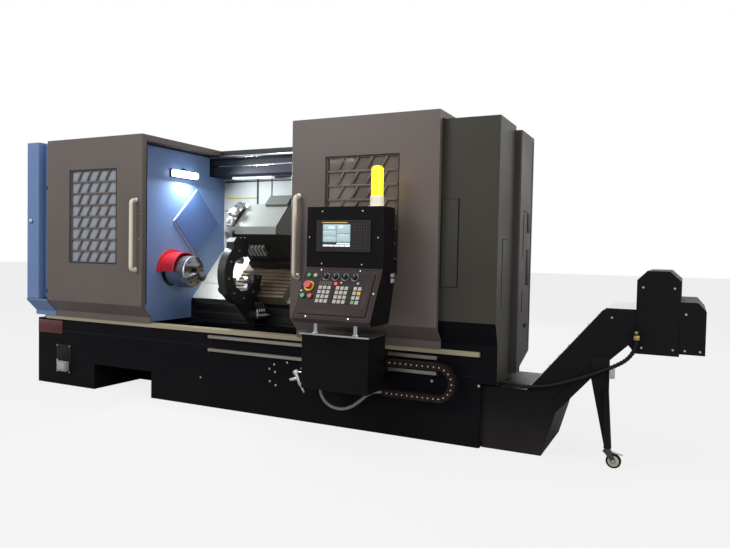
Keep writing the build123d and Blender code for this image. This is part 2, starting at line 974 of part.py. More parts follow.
def tailstock_quill():
    """Quill with its centre."""
    body = rod_x(quill_radius, quill_x0, tailstock_x1 - quill_tail)
    point = Plane(origin=(quill_x0, spindle_y, spindle_z), z_dir=(-1, 0, 0))
    return body + point.location * Cone(center_radius, center_tip_radius, center_length, align=seated)


def steady_frame():
    """C-shaped steady rest, open towards the turret, with a foot on the front ways and quill bosses."""
    seat_y = way_face_y - running_gap
    mid_x = (steady_x0 + steady_x1) / 2
    middle = (mid_x, spindle_y, spindle_z)
    body = rod_x(steady_outer_radius, steady_x0, steady_x1)
    outline = [
        (seat_y, foot_bottom_z), (seat_y, foot_top_z), (foot_knee_y, foot_knee_z),
        (spindle_y + steady_inner_radius, spindle_z - steady_inner_radius),
        (spindle_y - steady_inner_radius, spindle_z - steady_inner_radius), (foot_toe_y, foot_bottom_z),
    ]
    body += profile_x(outline, steady_x0, steady_x1)
    head = block(
        steady_x0, steady_x1, spindle_y - steady_head_front, spindle_y + steady_head_back, spindle_z,
        spindle_z + steady_head_height,
    )
    body += chamfer(head.edges().filter_by(Axis.X), steady_head_edge)
    for index in range(jaw_count):
        boss = rod(middle, (0, 0, 1), quill_boss_radius, quill_boss_reach)
        body += boss.rotate(spindle_axis, index * 360 / jaw_count)
    body -= rod_x(steady_inner_radius, steady_x0 - overrun, steady_x1 + overrun)
    gap_angles = (steady_gap_start, (steady_gap_start + steady_gap_end) / 2, steady_gap_end)
    gap = [(spindle_y, spindle_z)]
    for angle in gap_angles:
        across = steady_gap_reach * sin(radians(angle))
        gap.append((spindle_y + across, spindle_z + steady_gap_reach * cos(radians(angle))))
    body -= profile_x(gap, steady_x0 - overrun, steady_x1 + overrun)
    reach = quill_tip_radius + quill_rod_length + overrun
    for index in range(jaw_count):
        bore = rod(middle, (0, 0, 1), quill_rod_radius + shaft_clearance, reach)
        body -= bore.rotate(spindle_axis, index * 360 / jaw_count)
    return body


def steady_quill(index):
    """Quill of the steady rest with its roller nose."""
    mid_x = (steady_x0 + steady_x1) / 2
    tip_z = spindle_z + quill_tip_radius
    body = rod((mid_x, spindle_y, tip_z), (0, 0, 1), quill_rod_radius, quill_rod_length)
    roller = rod(
        (mid_x - quill_roller_width / 2, spindle_y, tip_z), (1, 0, 0), quill_roller_radius, quill_roller_width
    )
    return (body + roller).rotate(spindle_axis, index * 360 / jaw_count)


def folded_front(skirt_y, skirt_z, knee_z, roof_y, x0, x1):
    """Front sheet with a tucked-in skirt and a roof."""
    front = fixed_front_y
    top = fixed_top_z
    outline = [
        (skirt_y, track_top), (skirt_y, skirt_z), (front, knee_z), (front, top), (roof_y, top),
        (roof_y, top - sheet), (front + sheet, top - sheet), (front + sheet, knee_z),
        (skirt_y + sheet, skirt_z), (skirt_y + sheet, track_top),
    ]
    return profile_x(outline, x0, x1)


def left_end_cover():
    """Headstock cover: front, roof, left end and the nose below the service door."""
    x1 = bulkhead_x - bulkhead_thickness
    cover = folded_front(fixed_skirt_y, fixed_skirt_z, fixed_knee_z, fixed_roof_y, 0, x1)
    end = [
        (fixed_skirt_y, track_top), (fixed_skirt_y, fixed_skirt_z), (fixed_front_y, fixed_knee_z),
        (fixed_front_y, fixed_top_z), (fixed_roof_y, fixed_top_z), (fixed_roof_y, beam_bottom_z),
        (back_y, beam_bottom_z), (back_y, base_height), (track_back_y, base_height),
        (track_back_y, track_top),
    ]
    cover += profile_x(end, 0, sheet)
    nose_top = service_bottom_z - running_gap
    knee = door_knee_z - sheet
    drop = door_foot_y - door_front_y
    nose = [
        (door_front_y, nose_top), (door_front_y, knee), (door_foot_y, knee - drop), (door_foot_y, track_top),
        (fixed_skirt_y, track_top), (fixed_skirt_y, fixed_skirt_z), (fixed_front_y, nose_top),
    ]
    cover += profile_x(nose, 0, nose_end_x)
    return cover + rod(hinge_foot(nose_top), (0, 0, 1), hinge_pin_radius, hinge_pin_length)


def hinge_foot(z):
    """Point on the service door's hinge axis."""
    return service_x0 + hinge_round, fixed_front_y - running_gap - hinge_round, z


def left_service_door():
    """Narrow tray-shaped service door with a round latch and a barrel that stands on its hinge pin."""
    x1 = service_x0 + service_width
    back_face = fixed_front_y - running_gap
    pocket_top = fixed_top_z - sheet
    body = block(service_x0, x1, service_front_y, back_face, service_bottom_z, service_top_z)
    body = chamfer(body.faces().sort_by(Axis.Y)[0].edges(), service_wall)
    hinge_edge = body.edges().filter_by(Axis.Z).group_by(Axis.Y)[-1].sort_by(Axis.X)[0]
    body = fillet(hinge_edge, hinge_round)
    body -= block(
        service_x0 + service_wall, x1 - service_wall, service_front_y + service_wall + service_wall,
        back_face + overrun, service_bottom_z + service_wall, pocket_top,
    )
    barrel_foot = hinge_foot(service_bottom_z)
    body += rod(barrel_foot, (0, 0, 1), hinge_barrel_radius, pocket_top - service_bottom_z)
    body -= rod(hinge_foot(service_bottom_z - overrun), (0, 0, 1), hinge_pin_radius + shaft_clearance,
                hinge_pin_length + overrun)
    return body + rod((latch_x, service_front_y, latch_z), (0, -1, 0), latch_radius, latch_height)


def wall_outline(front_y):
    """Outline of a cross wall above the bed covers."""
    low_y, low_z = slope_point(cover_low_s - overrun, running_gap)
    high_y, high_z = slope_point(cover_high_s, running_gap)
    wall_back = rear_wall_y
    return [
        (fixed_skirt_y + sheet, track_top), (low_y, track_top), (low_y, low_z), (high_y, high_z),
        (wall_back, high_z), (wall_back, beam_bottom_z), (fixed_roof_y, beam_bottom_z),
        (fixed_roof_y, fixed_top_z - sheet), (front_y, fixed_top_z - sheet), (front_y, fixed_knee_z),
        (fixed_skirt_y + sheet, fixed_skirt_z),
    ]


def headstock_bulkhead():
    """Bulkhead at the chuck with a spindle hole and a raised square plate on its corner."""
    x0 = bulkhead_x - bulkhead_thickness
    wall = profile_x(wall_outline(fixed_front_y), x0, bulkhead_x)
    wall -= rod_x(bulkhead_hole_radius, x0 - overrun, bulkhead_x + overrun)
    plane = Plane(origin=(bulkhead_x, plate_center_y, plate_center_z), x_dir=(0, 1, 1), z_dir=(1, 0, 0))
    plate = extrude(plane * Rectangle(2 * plate_half, 2 * plate_half), amount=plate_thickness)
    plate = chamfer(plate.faces().sort_by(Axis.X)[-1].edges(), plate_edge)
    return wall + plate


def work_lamp():
    """Work lamp with a rounded lens under the bulkhead's top."""
    half = lamp_height / 2
    body = block(bulkhead_x, bulkhead_x + lamp_depth, lamp_y0, lamp_y1, lamp_z - half, lamp_z + half)
    outer = body.faces().sort_by(Axis.X)[-1]
    return fillet(outer.edges().filter_by(Axis.Y), lamp_round)


def rear_wall():
    """Light rear wall of the work area, standing on the bed."""
    rise = tan(radians(bed_angle))

    def bed_z(y):
        return bed_front_z + (y - bed_front_y) * rise

    y1 = rear_wall_y + rear_wall_thickness
    outline = [
        (rear_wall_y, bed_z(rear_wall_y)), (y1, bed_z(y1)), (y1, beam_bottom_z), (rear_wall_y, beam_bottom_z),
    ]
    return profile_x(outline, bulkhead_x, end_wall_x)


def rear_cover():
    """Back sheet with stiffening ribs and the top beam that carries the door roofs."""
    roof_seat = door_top_z - door_thickness - running_gap
    ledge_front = beam_front_y - ledge_depth
    beam = [
        (beam_front_y, beam_bottom_z + beam_edge), (beam_front_y, ledge_bottom_z),
        (ledge_front, ledge_bottom_z), (ledge_front, roof_seat), (beam_front_y, roof_seat),
        (beam_front_y, beam_top_z), (y_back, beam_top_z), (y_back, beam_bottom_z),
        (beam_front_y + beam_edge, beam_bottom_z),
    ]
    body = profile_x(beam, 0, back_end_x)
    body += block(0, back_end_x, back_y, y_back, base_height, beam_bottom_z)
    pitch = back_end_x / back_rib_count
    for index in range(back_rib_count):
        x0 = (index + 1 / 2) * pitch - back_rib_width / 2
        body -= block(
            x0, x0 + back_rib_width, y_back - back_rib_depth, y_back + overrun,
            base_height + back_rib_width, beam_bottom_z - back_rib_width,
        )
    return body


def sliding_door(x0, x1):
    """Door with its front, tucked-in foot and roof, open at the window."""
    inner_y = door_front_y + door_thickness
    drop = door_foot_y - door_front_y
    foot_z = door_knee_z - drop
    foot_bottom = track_top + running_gap
    foot_inner = door_foot_y + door_foot_sheet
    inner_foot_z = foot_z + door_foot_sheet / 2
    outline = [
        (door_front_y, door_top_z), (door_front_y, door_knee_z), (door_foot_y, foot_z),
        (door_foot_y, foot_bottom), (foot_inner, foot_bottom), (foot_inner, inner_foot_z),
        (inner_y, inner_foot_z + foot_inner - inner_y), (inner_y, door_top_z - door_thickness),
        (beam_front_y - running_gap, door_top_z - door_thickness), (beam_front_y - running_gap, door_top_z),
    ]
    door = profile_x(outline, x0, x1)
    front = door.faces().filter_by(Axis.Y).sort_by(Axis.Y)[0]
    door = chamfer(front.edges().filter_by(Axis.Z), door_edge)
    mid_x = (x0 + x1) / 2
    window = block(
        mid_x - window_width / 2, mid_x + window_width / 2, door_front_y - overrun, inner_y + overrun,
        window_bottom_z, window_top_z,
    )
    return door - window


def window_grille(x0, x1):
    """Grille of slanted panes set in the door's window."""
    mid_x = (x0 + x1) / 2
    left = mid_x - window_width / 2
    y0 = door_front_y + grille_recess
    plate = block(left, left + window_width, y0, y0 + grille_thickness, window_bottom_z, window_top_z)
    row_pitch = (window_top_z - window_bottom_z) / grille_rows
    column_pitch = window_width / grille_columns
    pane_width = column_pitch * grille_pane_width_share
    pane_height = row_pitch * grille_pane_height_share
    slant = pane_height * grille_slant_share
    margin = (column_pitch - pane_width) / 2
    for row in range(grille_rows):
        z0 = window_bottom_z + row * row_pitch + (row_pitch - pane_height) / 2
        z1 = z0 + pane_height
        for column in range(grille_columns):
            pane_x = left + column * column_pitch + margin
            low = pane_x - slant / 2
            high = pane_x + slant / 2
            pane = [(low, z0), (low + pane_width, z0), (high + pane_width, z1), (high, z1)]
            plate -= profile_y(pane, y0 - overrun, y0 + grille_thickness + overrun)
    return plate


def window_glass(x0, x1):
    """Safety glass behind the grille."""
    mid_x = (x0 + x1) / 2
    y0 = door_front_y + glass_setback
    half = window_width / 2
    return block(mid_x - half, mid_x + half, y0, y0 + glass_thickness, window_bottom_z, window_top_z)


def door_handle(x):
    """Pull handle bent from one round bar."""
    out_y = door_front_y - handle_reach
    path = FilletPolyline(
        (x, door_front_y, handle_bottom_z), (x, out_y, handle_bottom_z), (x, out_y, handle_top_z),
        (x, door_front_y, handle_top_z), radius=handle_bend,
    )
    section = Plane(origin=path @ 0, z_dir=path % 0) * Circle(handle_radius)
    return sweep(section, path=path)


def door_track():
    """Track of the doors on the base's front edge, with a running groove."""
    body = block(track_x0, track_x1, track_front_y, track_back_y, base_height, track_top)
    groove_y = (track_front_y + track_back_y) / 2
    half = track_groove_width / 2
    bottom = track_top - track_groove_depth
    body -= block(
        track_x0 - overrun, track_x1 + overrun, groove_y - half, groove_y + half, bottom, track_top + overrun
    )
    return body


def right_front_cover():
    """Right cover: folded front and roof, inner wall, right side with a skirt, and a raised panel."""
    span = (right_cover_x0, enclosure_length)
    cover = folded_front(right_skirt_y, right_skirt_z, right_knee_z, right_side_back_y, *span)
    cover += profile_x(wall_outline(fixed_front_y + sheet), end_wall_x, end_wall_x + sheet)
    skirt_back = right_skirt_y + right_skirt_depth
    side = [
        (right_skirt_y, right_side_bottom_z), (right_skirt_y, right_skirt_z), (fixed_front_y, right_knee_z),
        (fixed_front_y, fixed_top_z), (right_side_back_y, fixed_top_z),
        (right_side_back_y, right_side_bottom_z),
    ]
    cover += profile_x(side, enclosure_length - sheet, enclosure_length)
    cover += block(
        base_length + running_gap, enclosure_length, right_skirt_y, skirt_back,
        right_side_bottom_z, right_skirt_z,
    )
    return cover + block(
        access_x0, access_x1, fixed_front_y - access_rise, fixed_front_y, access_z0, access_z1
    )


def electrical_cabinet():
    """Electrical cabinet at the right end, with its lower end raked up to the back."""
    upper = block(cabinet_x0, cabinet_x1, cabinet_front_y, cabinet_back_y, base_height, cabinet_top_z)
    low_x0 = base_length + running_gap
    rake = [
        (cabinet_front_y, cabinet_low_front_z), (cabinet_back_y, cabinet_low_back_z),
        (cabinet_back_y, base_height), (cabinet_front_y, base_height),
    ]
    body = upper + profile_x(rake, low_x0, cabinet_x1)
    side = body.faces().filter_by(Axis.X).sort_by(Axis.X)[-1]
    return chamfer(side.edges().filter_by(Axis.Z), cabinet_edge)


def pendant_rails():
    """Two rails on the base front."""
    half = pendant_rail_height / 2
    return [
        block(rail_x_start, rail_x_end, -pendant_rail_depth, 0, z - half, z + half)
        for z in (upper_rail_z, lower_rail_z)
    ]


def pendant_column():
    """Column box with rail shoes, top plate, two posts and the chain bracket."""
    body = block(column_x0, column_x1, column_front_y, column_back_y, column_bottom_z, column_top_z)
    body = chamfer(body.edges().filter_by(Axis.Z), column_edge)
    body += block(
        column_x0 - column_plate, column_x1 + column_plate, column_front_y - column_plate, column_back_y,
        column_top_z, column_top_z + column_plate,
    )
    for x in (column_x0, column_x1 - shoe_width):
        for z in (upper_rail_z, lower_rail_z):
            half = shoe_height / 2
            shoe = block(x, x + shoe_width, column_back_y, -running_gap, z - half, z + half)
            slot = pendant_rail_height / 2 + running_gap
            shoe -= block(
                x - overrun, x + shoe_width + overrun, -pendant_rail_depth - running_gap, overrun,
                z - slot, z + slot,
            )
            body += shoe
    for x in (column_x0 + post_inset, column_x1 - post_inset):
        foot = column_top_z + column_plate
        body += rod((x, post_y, foot), (0, 0, 1), post_radius, console_lip_z - foot)
    half = chain_width / 2
    low = chain_lower_z - chain_height / 2
    body += block(
        column_x1, column_x1 + bracket_thickness, chain_y - half, chain_y + half, low,
        column_bottom_z + bracket_overlap,
    )
    return body


def pendant_housing():
    """Pendant box with the sloped console, bored for the buttons' stems."""
    outline = [
        (box_back_y, box_top_z), (box_front_y, box_top_z), (box_front_y, console_top_z),
        (console_bottom_y, console_bottom_z), (console_lip_y, console_lip_z), (console_back_y, console_lip_z),
        (box_back_y, console_rise_z),
    ]
    body = profile_x(outline, pendant_x0, pendant_x1)
    sides = body.faces().filter_by(Axis.X)
    body = chamfer(sides.edges(), pendant_edge)
    for u, v in button_places():
        body -= on_console(u, v, -stem_bore_depth) * stem_bore()
    return body


def console_plane():
    """Plane of the console's sloped face, with its origin at the face's upper left corner."""
    run = console_bottom_y - box_front_y
    fall = console_bottom_z - console_top_z
    return Plane(origin=(pendant_x0, box_front_y, console_top_z), x_dir=(1, 0, 0), z_dir=(0, fall, -run))


def on_console(u, v, height):
    """Place on the console face: u to the right, v down the slope, height out of it."""
    return console_plane().location * Pos(u, -v, height)


def button_places():
    """Places of the pieces that push in: emergency stop, start and stop."""
    return [(estop_u, estop_v), (button_u, button_v), (button_u + button_pitch, button_v)]


def seated_cylinder(radius, height):
    """Cylinder that stands on its seat."""
    return Cylinder(radius, height, align=seated)


def stem_bore():
    """Bore for a button's stem."""
    return seated_cylinder(stem_radius + shaft_clearance, stem_bore_depth + overrun)


def key_grid(place, columns, rows, pitch_u, pitch_v, size_u, size_v, rise):
    """Grid of keys, each placed from its centre."""
    return [
        place(column * pitch_u, row * pitch_v) * Box(size_u, size_v, rise, align=seated)
        for row in range(rows)
        for column in range(columns)
    ]


def control_display():
    """Display unit with a recessed screen and a field of keys."""
    back_face = box_front_y
    front_face = box_front_y - display_rise
    body = block(display_x0, display_x1, front_face, back_face, display_z0, display_z1)
    body = chamfer(body.faces().sort_by(Axis.Y)[0].edges(), display_edge)
    screen_x0 = display_x0 + screen_left_margin
    body -= block(
        screen_x0, screen_x0 + screen_width, front_face - overrun, front_face + screen_depth,
        display_z0 + screen_bottom_margin, display_z1 - screen_top_margin,
    )
    field_x0 = screen_x0 + screen_width + screen_margin
    field_width = display_x1 - screen_margin - field_x0
    field_height = display_z1 - display_z0 - 2 * screen_margin
    pitch_u = field_width / display_key_columns
    pitch_v = field_height / display_key_rows
    face = Plane(origin=(field_x0, front_face, display_z1 - screen_margin), x_dir=(1, 0, 0), z_dir=(0, -1, 0))

    def place(u, v):
        return face.location * Pos(u + pitch_u / 2, -v - pitch_v / 2, 0)

    keys = key_grid(
        place, display_key_columns, display_key_rows, pitch_u, pitch_v,
        pitch_u * key_fill_share, pitch_v * key_fill_share, key_rise,
    )
    return body + keys


def operator_panel():
    """Panel on the console slope with rotary knobs, keys and lamp buttons."""
    slope_length = ((console_bottom_y - box_front_y) ** 2 + (console_bottom_z - console_top_z) ** 2) ** 0.5
    width = pendant_x1 - pendant_x0 - 2 * panel_margin
    height = slope_length - panel_top_margin - panel_bottom_margin
    corner = (panel_margin + width / 2, panel_top_margin + height / 2)
    body = on_console(*corner, 0) * Box(width, height, panel_rise, align=seated)
    for u, v in button_places():
        body -= on_console(u, v, -overrun) * stem_bore()
    pieces = []
    for index in range(knob_count):
        seat = on_console(knob_u_start + index * knob_pitch, knob_v, panel_rise)
        pieces.append(seat * seated_cylinder(knob_radius, knob_height))
    for index in range(lamp_button_count):
        seat = on_console(lamp_button_u + index * lamp_button_pitch, lamp_button_v, panel_rise)
        pieces.append(seat * seated_cylinder(lamp_button_radius, button_height))

    def place(u, v):
        return on_console(panel_key_u + u, panel_key_v + v, panel_rise)

    pieces += key_grid(
        place, panel_key_columns, panel_key_rows, panel_key_pitch, panel_key_pitch,
        panel_key_size, panel_key_size, key_rise,
    )
    return body + pieces


def push_button(u, v, radius, height):
    """Button with its stem, standing clear of the panel by its travel."""
    foot = panel_rise + button_travel + running_gap
    cap = on_console(u, v, foot) * seated_cylinder(radius, height)
    return cap + on_console(u, v, foot - stem_length) * seated_cylinder(stem_radius, stem_length)


def beacon():
    """Signal beacon with a stepped base and a domed lens."""
    foot = Pos(beacon_x, beacon_y, box_top_z)
    body = foot * seated_cylinder(beacon_base_radius, beacon_base_top_z - box_top_z)
    lens_foot = Pos(beacon_x, beacon_y, beacon_base_top_z)
    lens = lens_foot * seated_cylinder(beacon_lens_radius, beacon_top_z - beacon_base_top_z)
    lens = fillet(lens.edges().filter_by(GeomType.CIRCLE).sort_by(Axis.Z)[-1], beacon_dome)
    return body + lens


def cable_chain():
    """Cable chain: an upper run fixed to the base, a bend and a lower run to the column."""
    radius = (chain_upper_z - chain_lower_z) / 2
    mid_z = (chain_upper_z + chain_lower_z) / 2
    bore = 2 * chain_wall
    links = []
    for start_x, z in ((chain_fixed_x, chain_upper_z), (chain_moving_x, chain_lower_z)):
        count = round((chain_bend_x - start_x) / chain_pitch)
        pitch = (chain_bend_x - start_x) / count
        link = Box(pitch - chain_link_gap, chain_width, chain_height)
        link -= Box(pitch + overrun, chain_width - bore, chain_height - bore)
        for index in range(count):
            links.append(Pos(start_x + (index + 1 / 2) * pitch, chain_y, z) * link)
    bend_count = round(radians(180) * radius / chain_pitch)
    inner = radius - chain_height / 2
    outer = inner + chain_height
    wedge = 180 / bend_count
    narrow = 2 * inner * tan(radians(wedge / 2)) - chain_link_gap
    wide = 2 * outer * tan(radians(wedge / 2)) - chain_link_gap
    points = [(-narrow / 2, inner), (narrow / 2, inner), (wide / 2, outer), (-wide / 2, outer)]
    bend_link = profile_y(points, chain_y - chain_width / 2, chain_y + chain_width / 2)
    for index in range(bend_count):
        turned = bend_link.rotate(Axis((0, 0, 0), (0, 1, 0)), (index + 1 / 2) * wedge)
        links.append(Pos(chain_bend_x, 0, mid_z) * turned)
    half = chain_height / 2
    links.append(
        block(
            chain_fixed_x - bracket_thickness, chain_fixed_x, chain_y - chain_width / 2, 0,
            chain_upper_z - half + chain_wall, chain_upper_z + half - chain_wall,
        )
    )
    return links


def cord_tube(name, route, diameter):
    """Round tube along a route of runs joined by tangent arcs."""
    points = [Vector(*point) for point in route]
    corner_radii = []
    for before, corner, after in zip(points, points[1:], points[2:]):
        turn = (corner - before).get_angle(after - corner)
        run = min((corner - before).length, (after - corner).length)
        corner_radii.append(arc_share * run / tan(radians(turn / 2)))
    path = FilletPolyline(*points, radius=corner_radii)
    tube = sweep(Plane(origin=path @ 0, z_dir=path % 0) * Circle(diameter / 2), path=path)
    section = radians(180) * (diameter / 2) ** 2
    print(name, "length", round(path.length), "volume ratio", round(tube.volume / (section * path.length), 4))
    print(name, "radii", [round(radius) for radius in corner_radii])
    return tube


def conveyor_housing():
    """Conveyor casing: tray under the trough, tank heel, incline with a leg, top plate and slat belt."""
    outline = [
        (conveyor_x0, conveyor_bottom_z), (conveyor_tank_x0, conveyor_bottom_z), (conveyor_tank_x0, 0),
        (conveyor_tank_x1, 0), (conveyor_heel_x, conveyor_heel_z), (incline_belly_x, incline_belly_z),
        (head_neck_x, head_neck_z), (head_x0, head_bottom_z), (head_x0, incline_top_z),
        (incline_top_x, incline_top_z), (incline_foot_x, conveyor_deck_z), (conveyor_x0, conveyor_deck_z),
    ]
    body = profile_y(outline, conveyor_y0, conveyor_y1)
    body -= block(
        conveyor_x0 + tray_wall, tray_end_x, conveyor_y0 + tray_wall, conveyor_y1 - tray_wall, tray_floor_z,
        conveyor_deck_z + overrun,
    )
    slat_x = conveyor_x0 + tray_wall
    belt_points = [(slat_x, tray_floor_z), (slat_x, tray_floor_z + slat_bed)]
    count = int((tray_end_x - slat_x) / slat_pitch)
    for index in range(count):
        x0 = slat_x + (index + 1 / 2) * slat_pitch
        belt_points += [
            (x0, tray_floor_z + slat_bed), (x0, tray_floor_z + slat_height),
            (x0 + slat_thickness, tray_floor_z + slat_height), (x0 + slat_thickness, tray_floor_z + slat_bed),
        ]
    belt_points += [(tray_end_x, tray_floor_z + slat_bed), (tray_end_x, tray_floor_z)]
    body += profile_y(belt_points, conveyor_y0 + tray_wall, conveyor_y1 - tray_wall)
    body += block(
        incline_top_x + top_plate_margin, head_x0,
        conveyor_y0 + top_plate_margin, conveyor_y1 - top_plate_margin,
        incline_top_z, incline_top_z + top_plate_thickness,
    )
    plate = [
        (leg_top_x0, leg_shoulder_z), (leg_bottom_x0, leg_bottom_z), (leg_bottom_x1, leg_bottom_z),
        (leg_top_x1, leg_waist_z), (leg_top_x1, leg_top_z),
    ]
    body += profile_y(plate, conveyor_y0 - leg_plate, conveyor_y0)
    channel = [
        (leg_bottom_x0, leg_bottom_z), (leg_bottom_x1, leg_bottom_z), (leg_top_x1, leg_waist_z),
        (leg_bottom_x0 - leg_plate, leg_waist_z),
    ]
    body += profile_y(channel, leg_front_y, conveyor_y0 - leg_plate)
    pin_hole = king_pin_radius + shaft_clearance
    pin = rod((caster_x, caster_y, leg_bottom_z - overrun), (0, 0, 1), pin_hole, king_pin_depth + overrun)
    return body - pin


def conveyor_head():
    """Drive head with the chip chute, open at its bottom, and the conduit gland."""
    head = [
        (head_x0, head_bottom_z), (head_x1, head_bottom_z), (head_x1, head_shoulder_z),
        (head_top_x1, head_top_z), (head_top_x0, head_top_z), (head_x0, head_shoulder_z),
    ]
    body = profile_y(head, conveyor_y0, conveyor_y1)
    chute = [
        (head_x1, chute_bottom_z), (chute_x1, chute_bottom_z), (chute_x1, chute_slope_z),
        (chute_top_x, chute_top_z), (head_x1, chute_top_z),
    ]
    body += profile_y(chute, conveyor_y0, conveyor_y1)
    body -= block(
        head_x1, chute_x1 - chute_wall, conveyor_y0 + chute_wall, conveyor_y1 - chute_wall,
        chute_bottom_z - overrun, chute_slope_z - chute_wall,
    )
    return body + block(
        gland_x - gland_half, gland_x + gland_half, gland_y0, conveyor_y0, gland_z, gland_z + gland_height
    )


def caster_fork():
    """Swivel fork of the caster with its king pin and axle."""
    wheel_x = caster_x + caster_trail
    half = wheel_width / 2 + fork_gap
    top_z0 = fork_top_z - fork_top_thickness
    body = block(
        caster_x - fork_half_length, caster_x + fork_half_length, caster_y - half - fork_plate,
        caster_y + half + fork_plate, top_z0, fork_top_z,
    )
    cheek = [
        (caster_x - fork_half_length, fork_top_z), (caster_x + fork_half_length, fork_top_z),
        (wheel_x + 2 * axle_radius, wheel_radius), (wheel_x, wheel_radius - 2 * axle_radius),
        (wheel_x - 2 * axle_radius, wheel_radius),
    ]
    for y0 in (caster_y - half - fork_plate, caster_y + half):
        body += profile_y(cheek, y0, y0 + fork_plate)
    body += rod((wheel_x, caster_y - half, wheel_radius), (0, 1, 0), axle_radius, 2 * half)
    pin_length = leg_bottom_z + king_pin_depth - fork_top_z - running_gap
    body += rod((caster_x, caster_y, fork_top_z), (0, 0, 1), king_pin_radius, pin_length)
    collar = leg_bottom_z - running_gap - fork_top_z
    return body + rod((caster_x, caster_y, fork_top_z), (0, 0, 1), 2 * king_pin_radius, collar)


def caster_wheel():
    """Caster wheel bored for its axle."""
    wheel_x = caster_x + caster_trail
    start = (wheel_x, caster_y - wheel_width / 2, wheel_radius)
    wheel = rod(start, (0, 1, 0), wheel_radius, wheel_width)
    wheel = chamfer(wheel.edges().filter_by(GeomType.CIRCLE), wheel_edge)
    bore_start = (wheel_x, caster_y - wheel_width, wheel_radius)
    return wheel - rod(bore_start, (0, 1, 0), axle_radius + shaft_clearance, 2 * wheel_width)


def build():
    """All pieces by name, in the machine's layout frame."""
    left_covers = left_way_covers()
    right_covers = right_way_covers()
    pieces = {
        "base_casting": base_casting(),
        "slant_bed": slant_bed(),
        "bed_guideways": bed_guideways(),
        "headstock": headstock(),
        "spindle_motor": spindle_motor(),
        "drive_belt": drive_belt(),
        "spindle": spindle(),
        "motor_pulley": motor_pulley(),
        "chuck_body": chuck_body(),
        "chuck_guard": chuck_guard(),
        "way_cover_left_fixed": left_covers[0],
        "way_cover_left_middle": left_covers[1],
        "way_cover_left_carriage": left_covers[2],
        "way_cover_right_fixed": right_covers[0],
        "way_cover_right_carriage": right_covers[1],
        "carriage": carriage(),
        "cross_slide": cross_slide(),
        "turret_disc": turret_disc(),
        "tailstock_body": tailstock_body(),
        "tailstock_quill": tailstock_quill(),
        "steady_frame": steady_frame(),
        "left_end_cover": left_end_cover(),
        "left_service_door": left_service_door(),
        "headstock_bulkhead": headstock_bulkhead(),
        "work_lamp": work_lamp(),
        "rear_wall": rear_wall(),
        "rear_cover": rear_cover(),
        "door_track": door_track(),
        "right_front_cover": right_front_cover(),
        "electrical_cabinet": electrical_cabinet(),
        "pendant_rails": pendant_rails(),
        "pendant_column": pendant_column(),
        "pendant_housing": pendant_housing(),
        "control_display": control_display(),
        "operator_panel": operator_panel(),
        "beacon": beacon(),
        "cable_chain": cable_chain(),
        "conduit": cord_tube("conduit", conduit_route, conduit_diameter),
        "conveyor_housing": conveyor_housing(),
        "conveyor_head": conveyor_head(),
        "conveyor_hose": cord_tube("conveyor_hose", hose_route, hose_diameter),
        "caster_fork": caster_fork(),
        "caster_wheel": caster_wheel(),
    }
    for index in range(jaw_count):
        pieces[f"chuck_jaw_{index + 1}"] = chuck_jaw(index)
        pieces[f"steady_quill_{index + 1}"] = steady_quill(index)
    buttons = ("emergency_stop", "cycle_start_button", "cycle_stop_button")
    sizes = ((estop_radius, estop_height), (button_radius, button_height), (button_radius, button_height))
    for name, (u, v), (radius, height) in zip(buttons, button_places(), sizes):
        pieces[name] = push_button(u, v, radius, height)
    doors = {
        "left_door": (left_door_x0, left_door_x1, left_door_x1 - handle_offset),
        "right_door": (right_door_x0, right_door_x1, right_door_x0 + handle_offset),
    }
    for name, (x0, x1, handle_x) in doors.items():
        pieces[name] = sliding_door(x0, x1)
        pieces[f"{name}_grille"] = window_grille(x0, x1)
        pieces[f"{name}_glass"] = window_glass(x0, x1)
        pieces[f"{name}_handle"] = door_handle(handle_x)
    return pieces


def main():
    """Write one STEP file for each piece."""
    os.makedirs("parts", exist_ok=True)
    for name, shape in build().items():
        placed = [to_frame * solid for solid in shape] if isinstance(shape, list) else [to_frame * shape]
        export_step(Compound(children=placed) if len(placed) > 1 else placed[0], f"parts/{name}.step")


if __name__ == "__main__":
    main()
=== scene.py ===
# %% [markdown]
# The object is a slant-bed CNC turning lathe: a long black base, two sliding doors, a blue headstock cover, a
# control pendant that slides on rails and a chip conveyor at the right end. The solids come from CAD. This lesson
# dresses them with finishes and adds the small pieces that give the machine its scale: screws, keys, hoses, trims.

# %% Load the frame
from math import cos, pi, radians, sin

import bmesh
import bpy
from mathutils import Matrix, Vector


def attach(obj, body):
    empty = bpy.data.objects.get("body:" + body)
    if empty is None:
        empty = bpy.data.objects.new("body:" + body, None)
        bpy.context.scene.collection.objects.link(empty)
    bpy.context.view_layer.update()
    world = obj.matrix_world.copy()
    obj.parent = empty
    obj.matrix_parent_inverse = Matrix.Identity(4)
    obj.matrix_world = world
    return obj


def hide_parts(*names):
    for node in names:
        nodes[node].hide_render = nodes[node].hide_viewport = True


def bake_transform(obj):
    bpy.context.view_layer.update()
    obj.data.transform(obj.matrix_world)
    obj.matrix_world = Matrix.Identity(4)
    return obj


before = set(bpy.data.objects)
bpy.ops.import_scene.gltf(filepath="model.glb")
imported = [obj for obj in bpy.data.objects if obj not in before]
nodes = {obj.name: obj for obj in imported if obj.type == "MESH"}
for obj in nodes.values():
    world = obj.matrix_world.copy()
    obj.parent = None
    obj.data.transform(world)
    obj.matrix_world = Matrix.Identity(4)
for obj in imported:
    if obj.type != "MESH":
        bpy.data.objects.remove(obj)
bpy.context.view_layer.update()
scene = bpy.context.scene
print("loaded", len(nodes), "nodes")

# %% [markdown]
# A machine builder gives sizes in millimetres from the base's left front corner on the floor. The model's origin is
# in the middle of the machine, so one function turns a builder's place into metres in the model's frame.

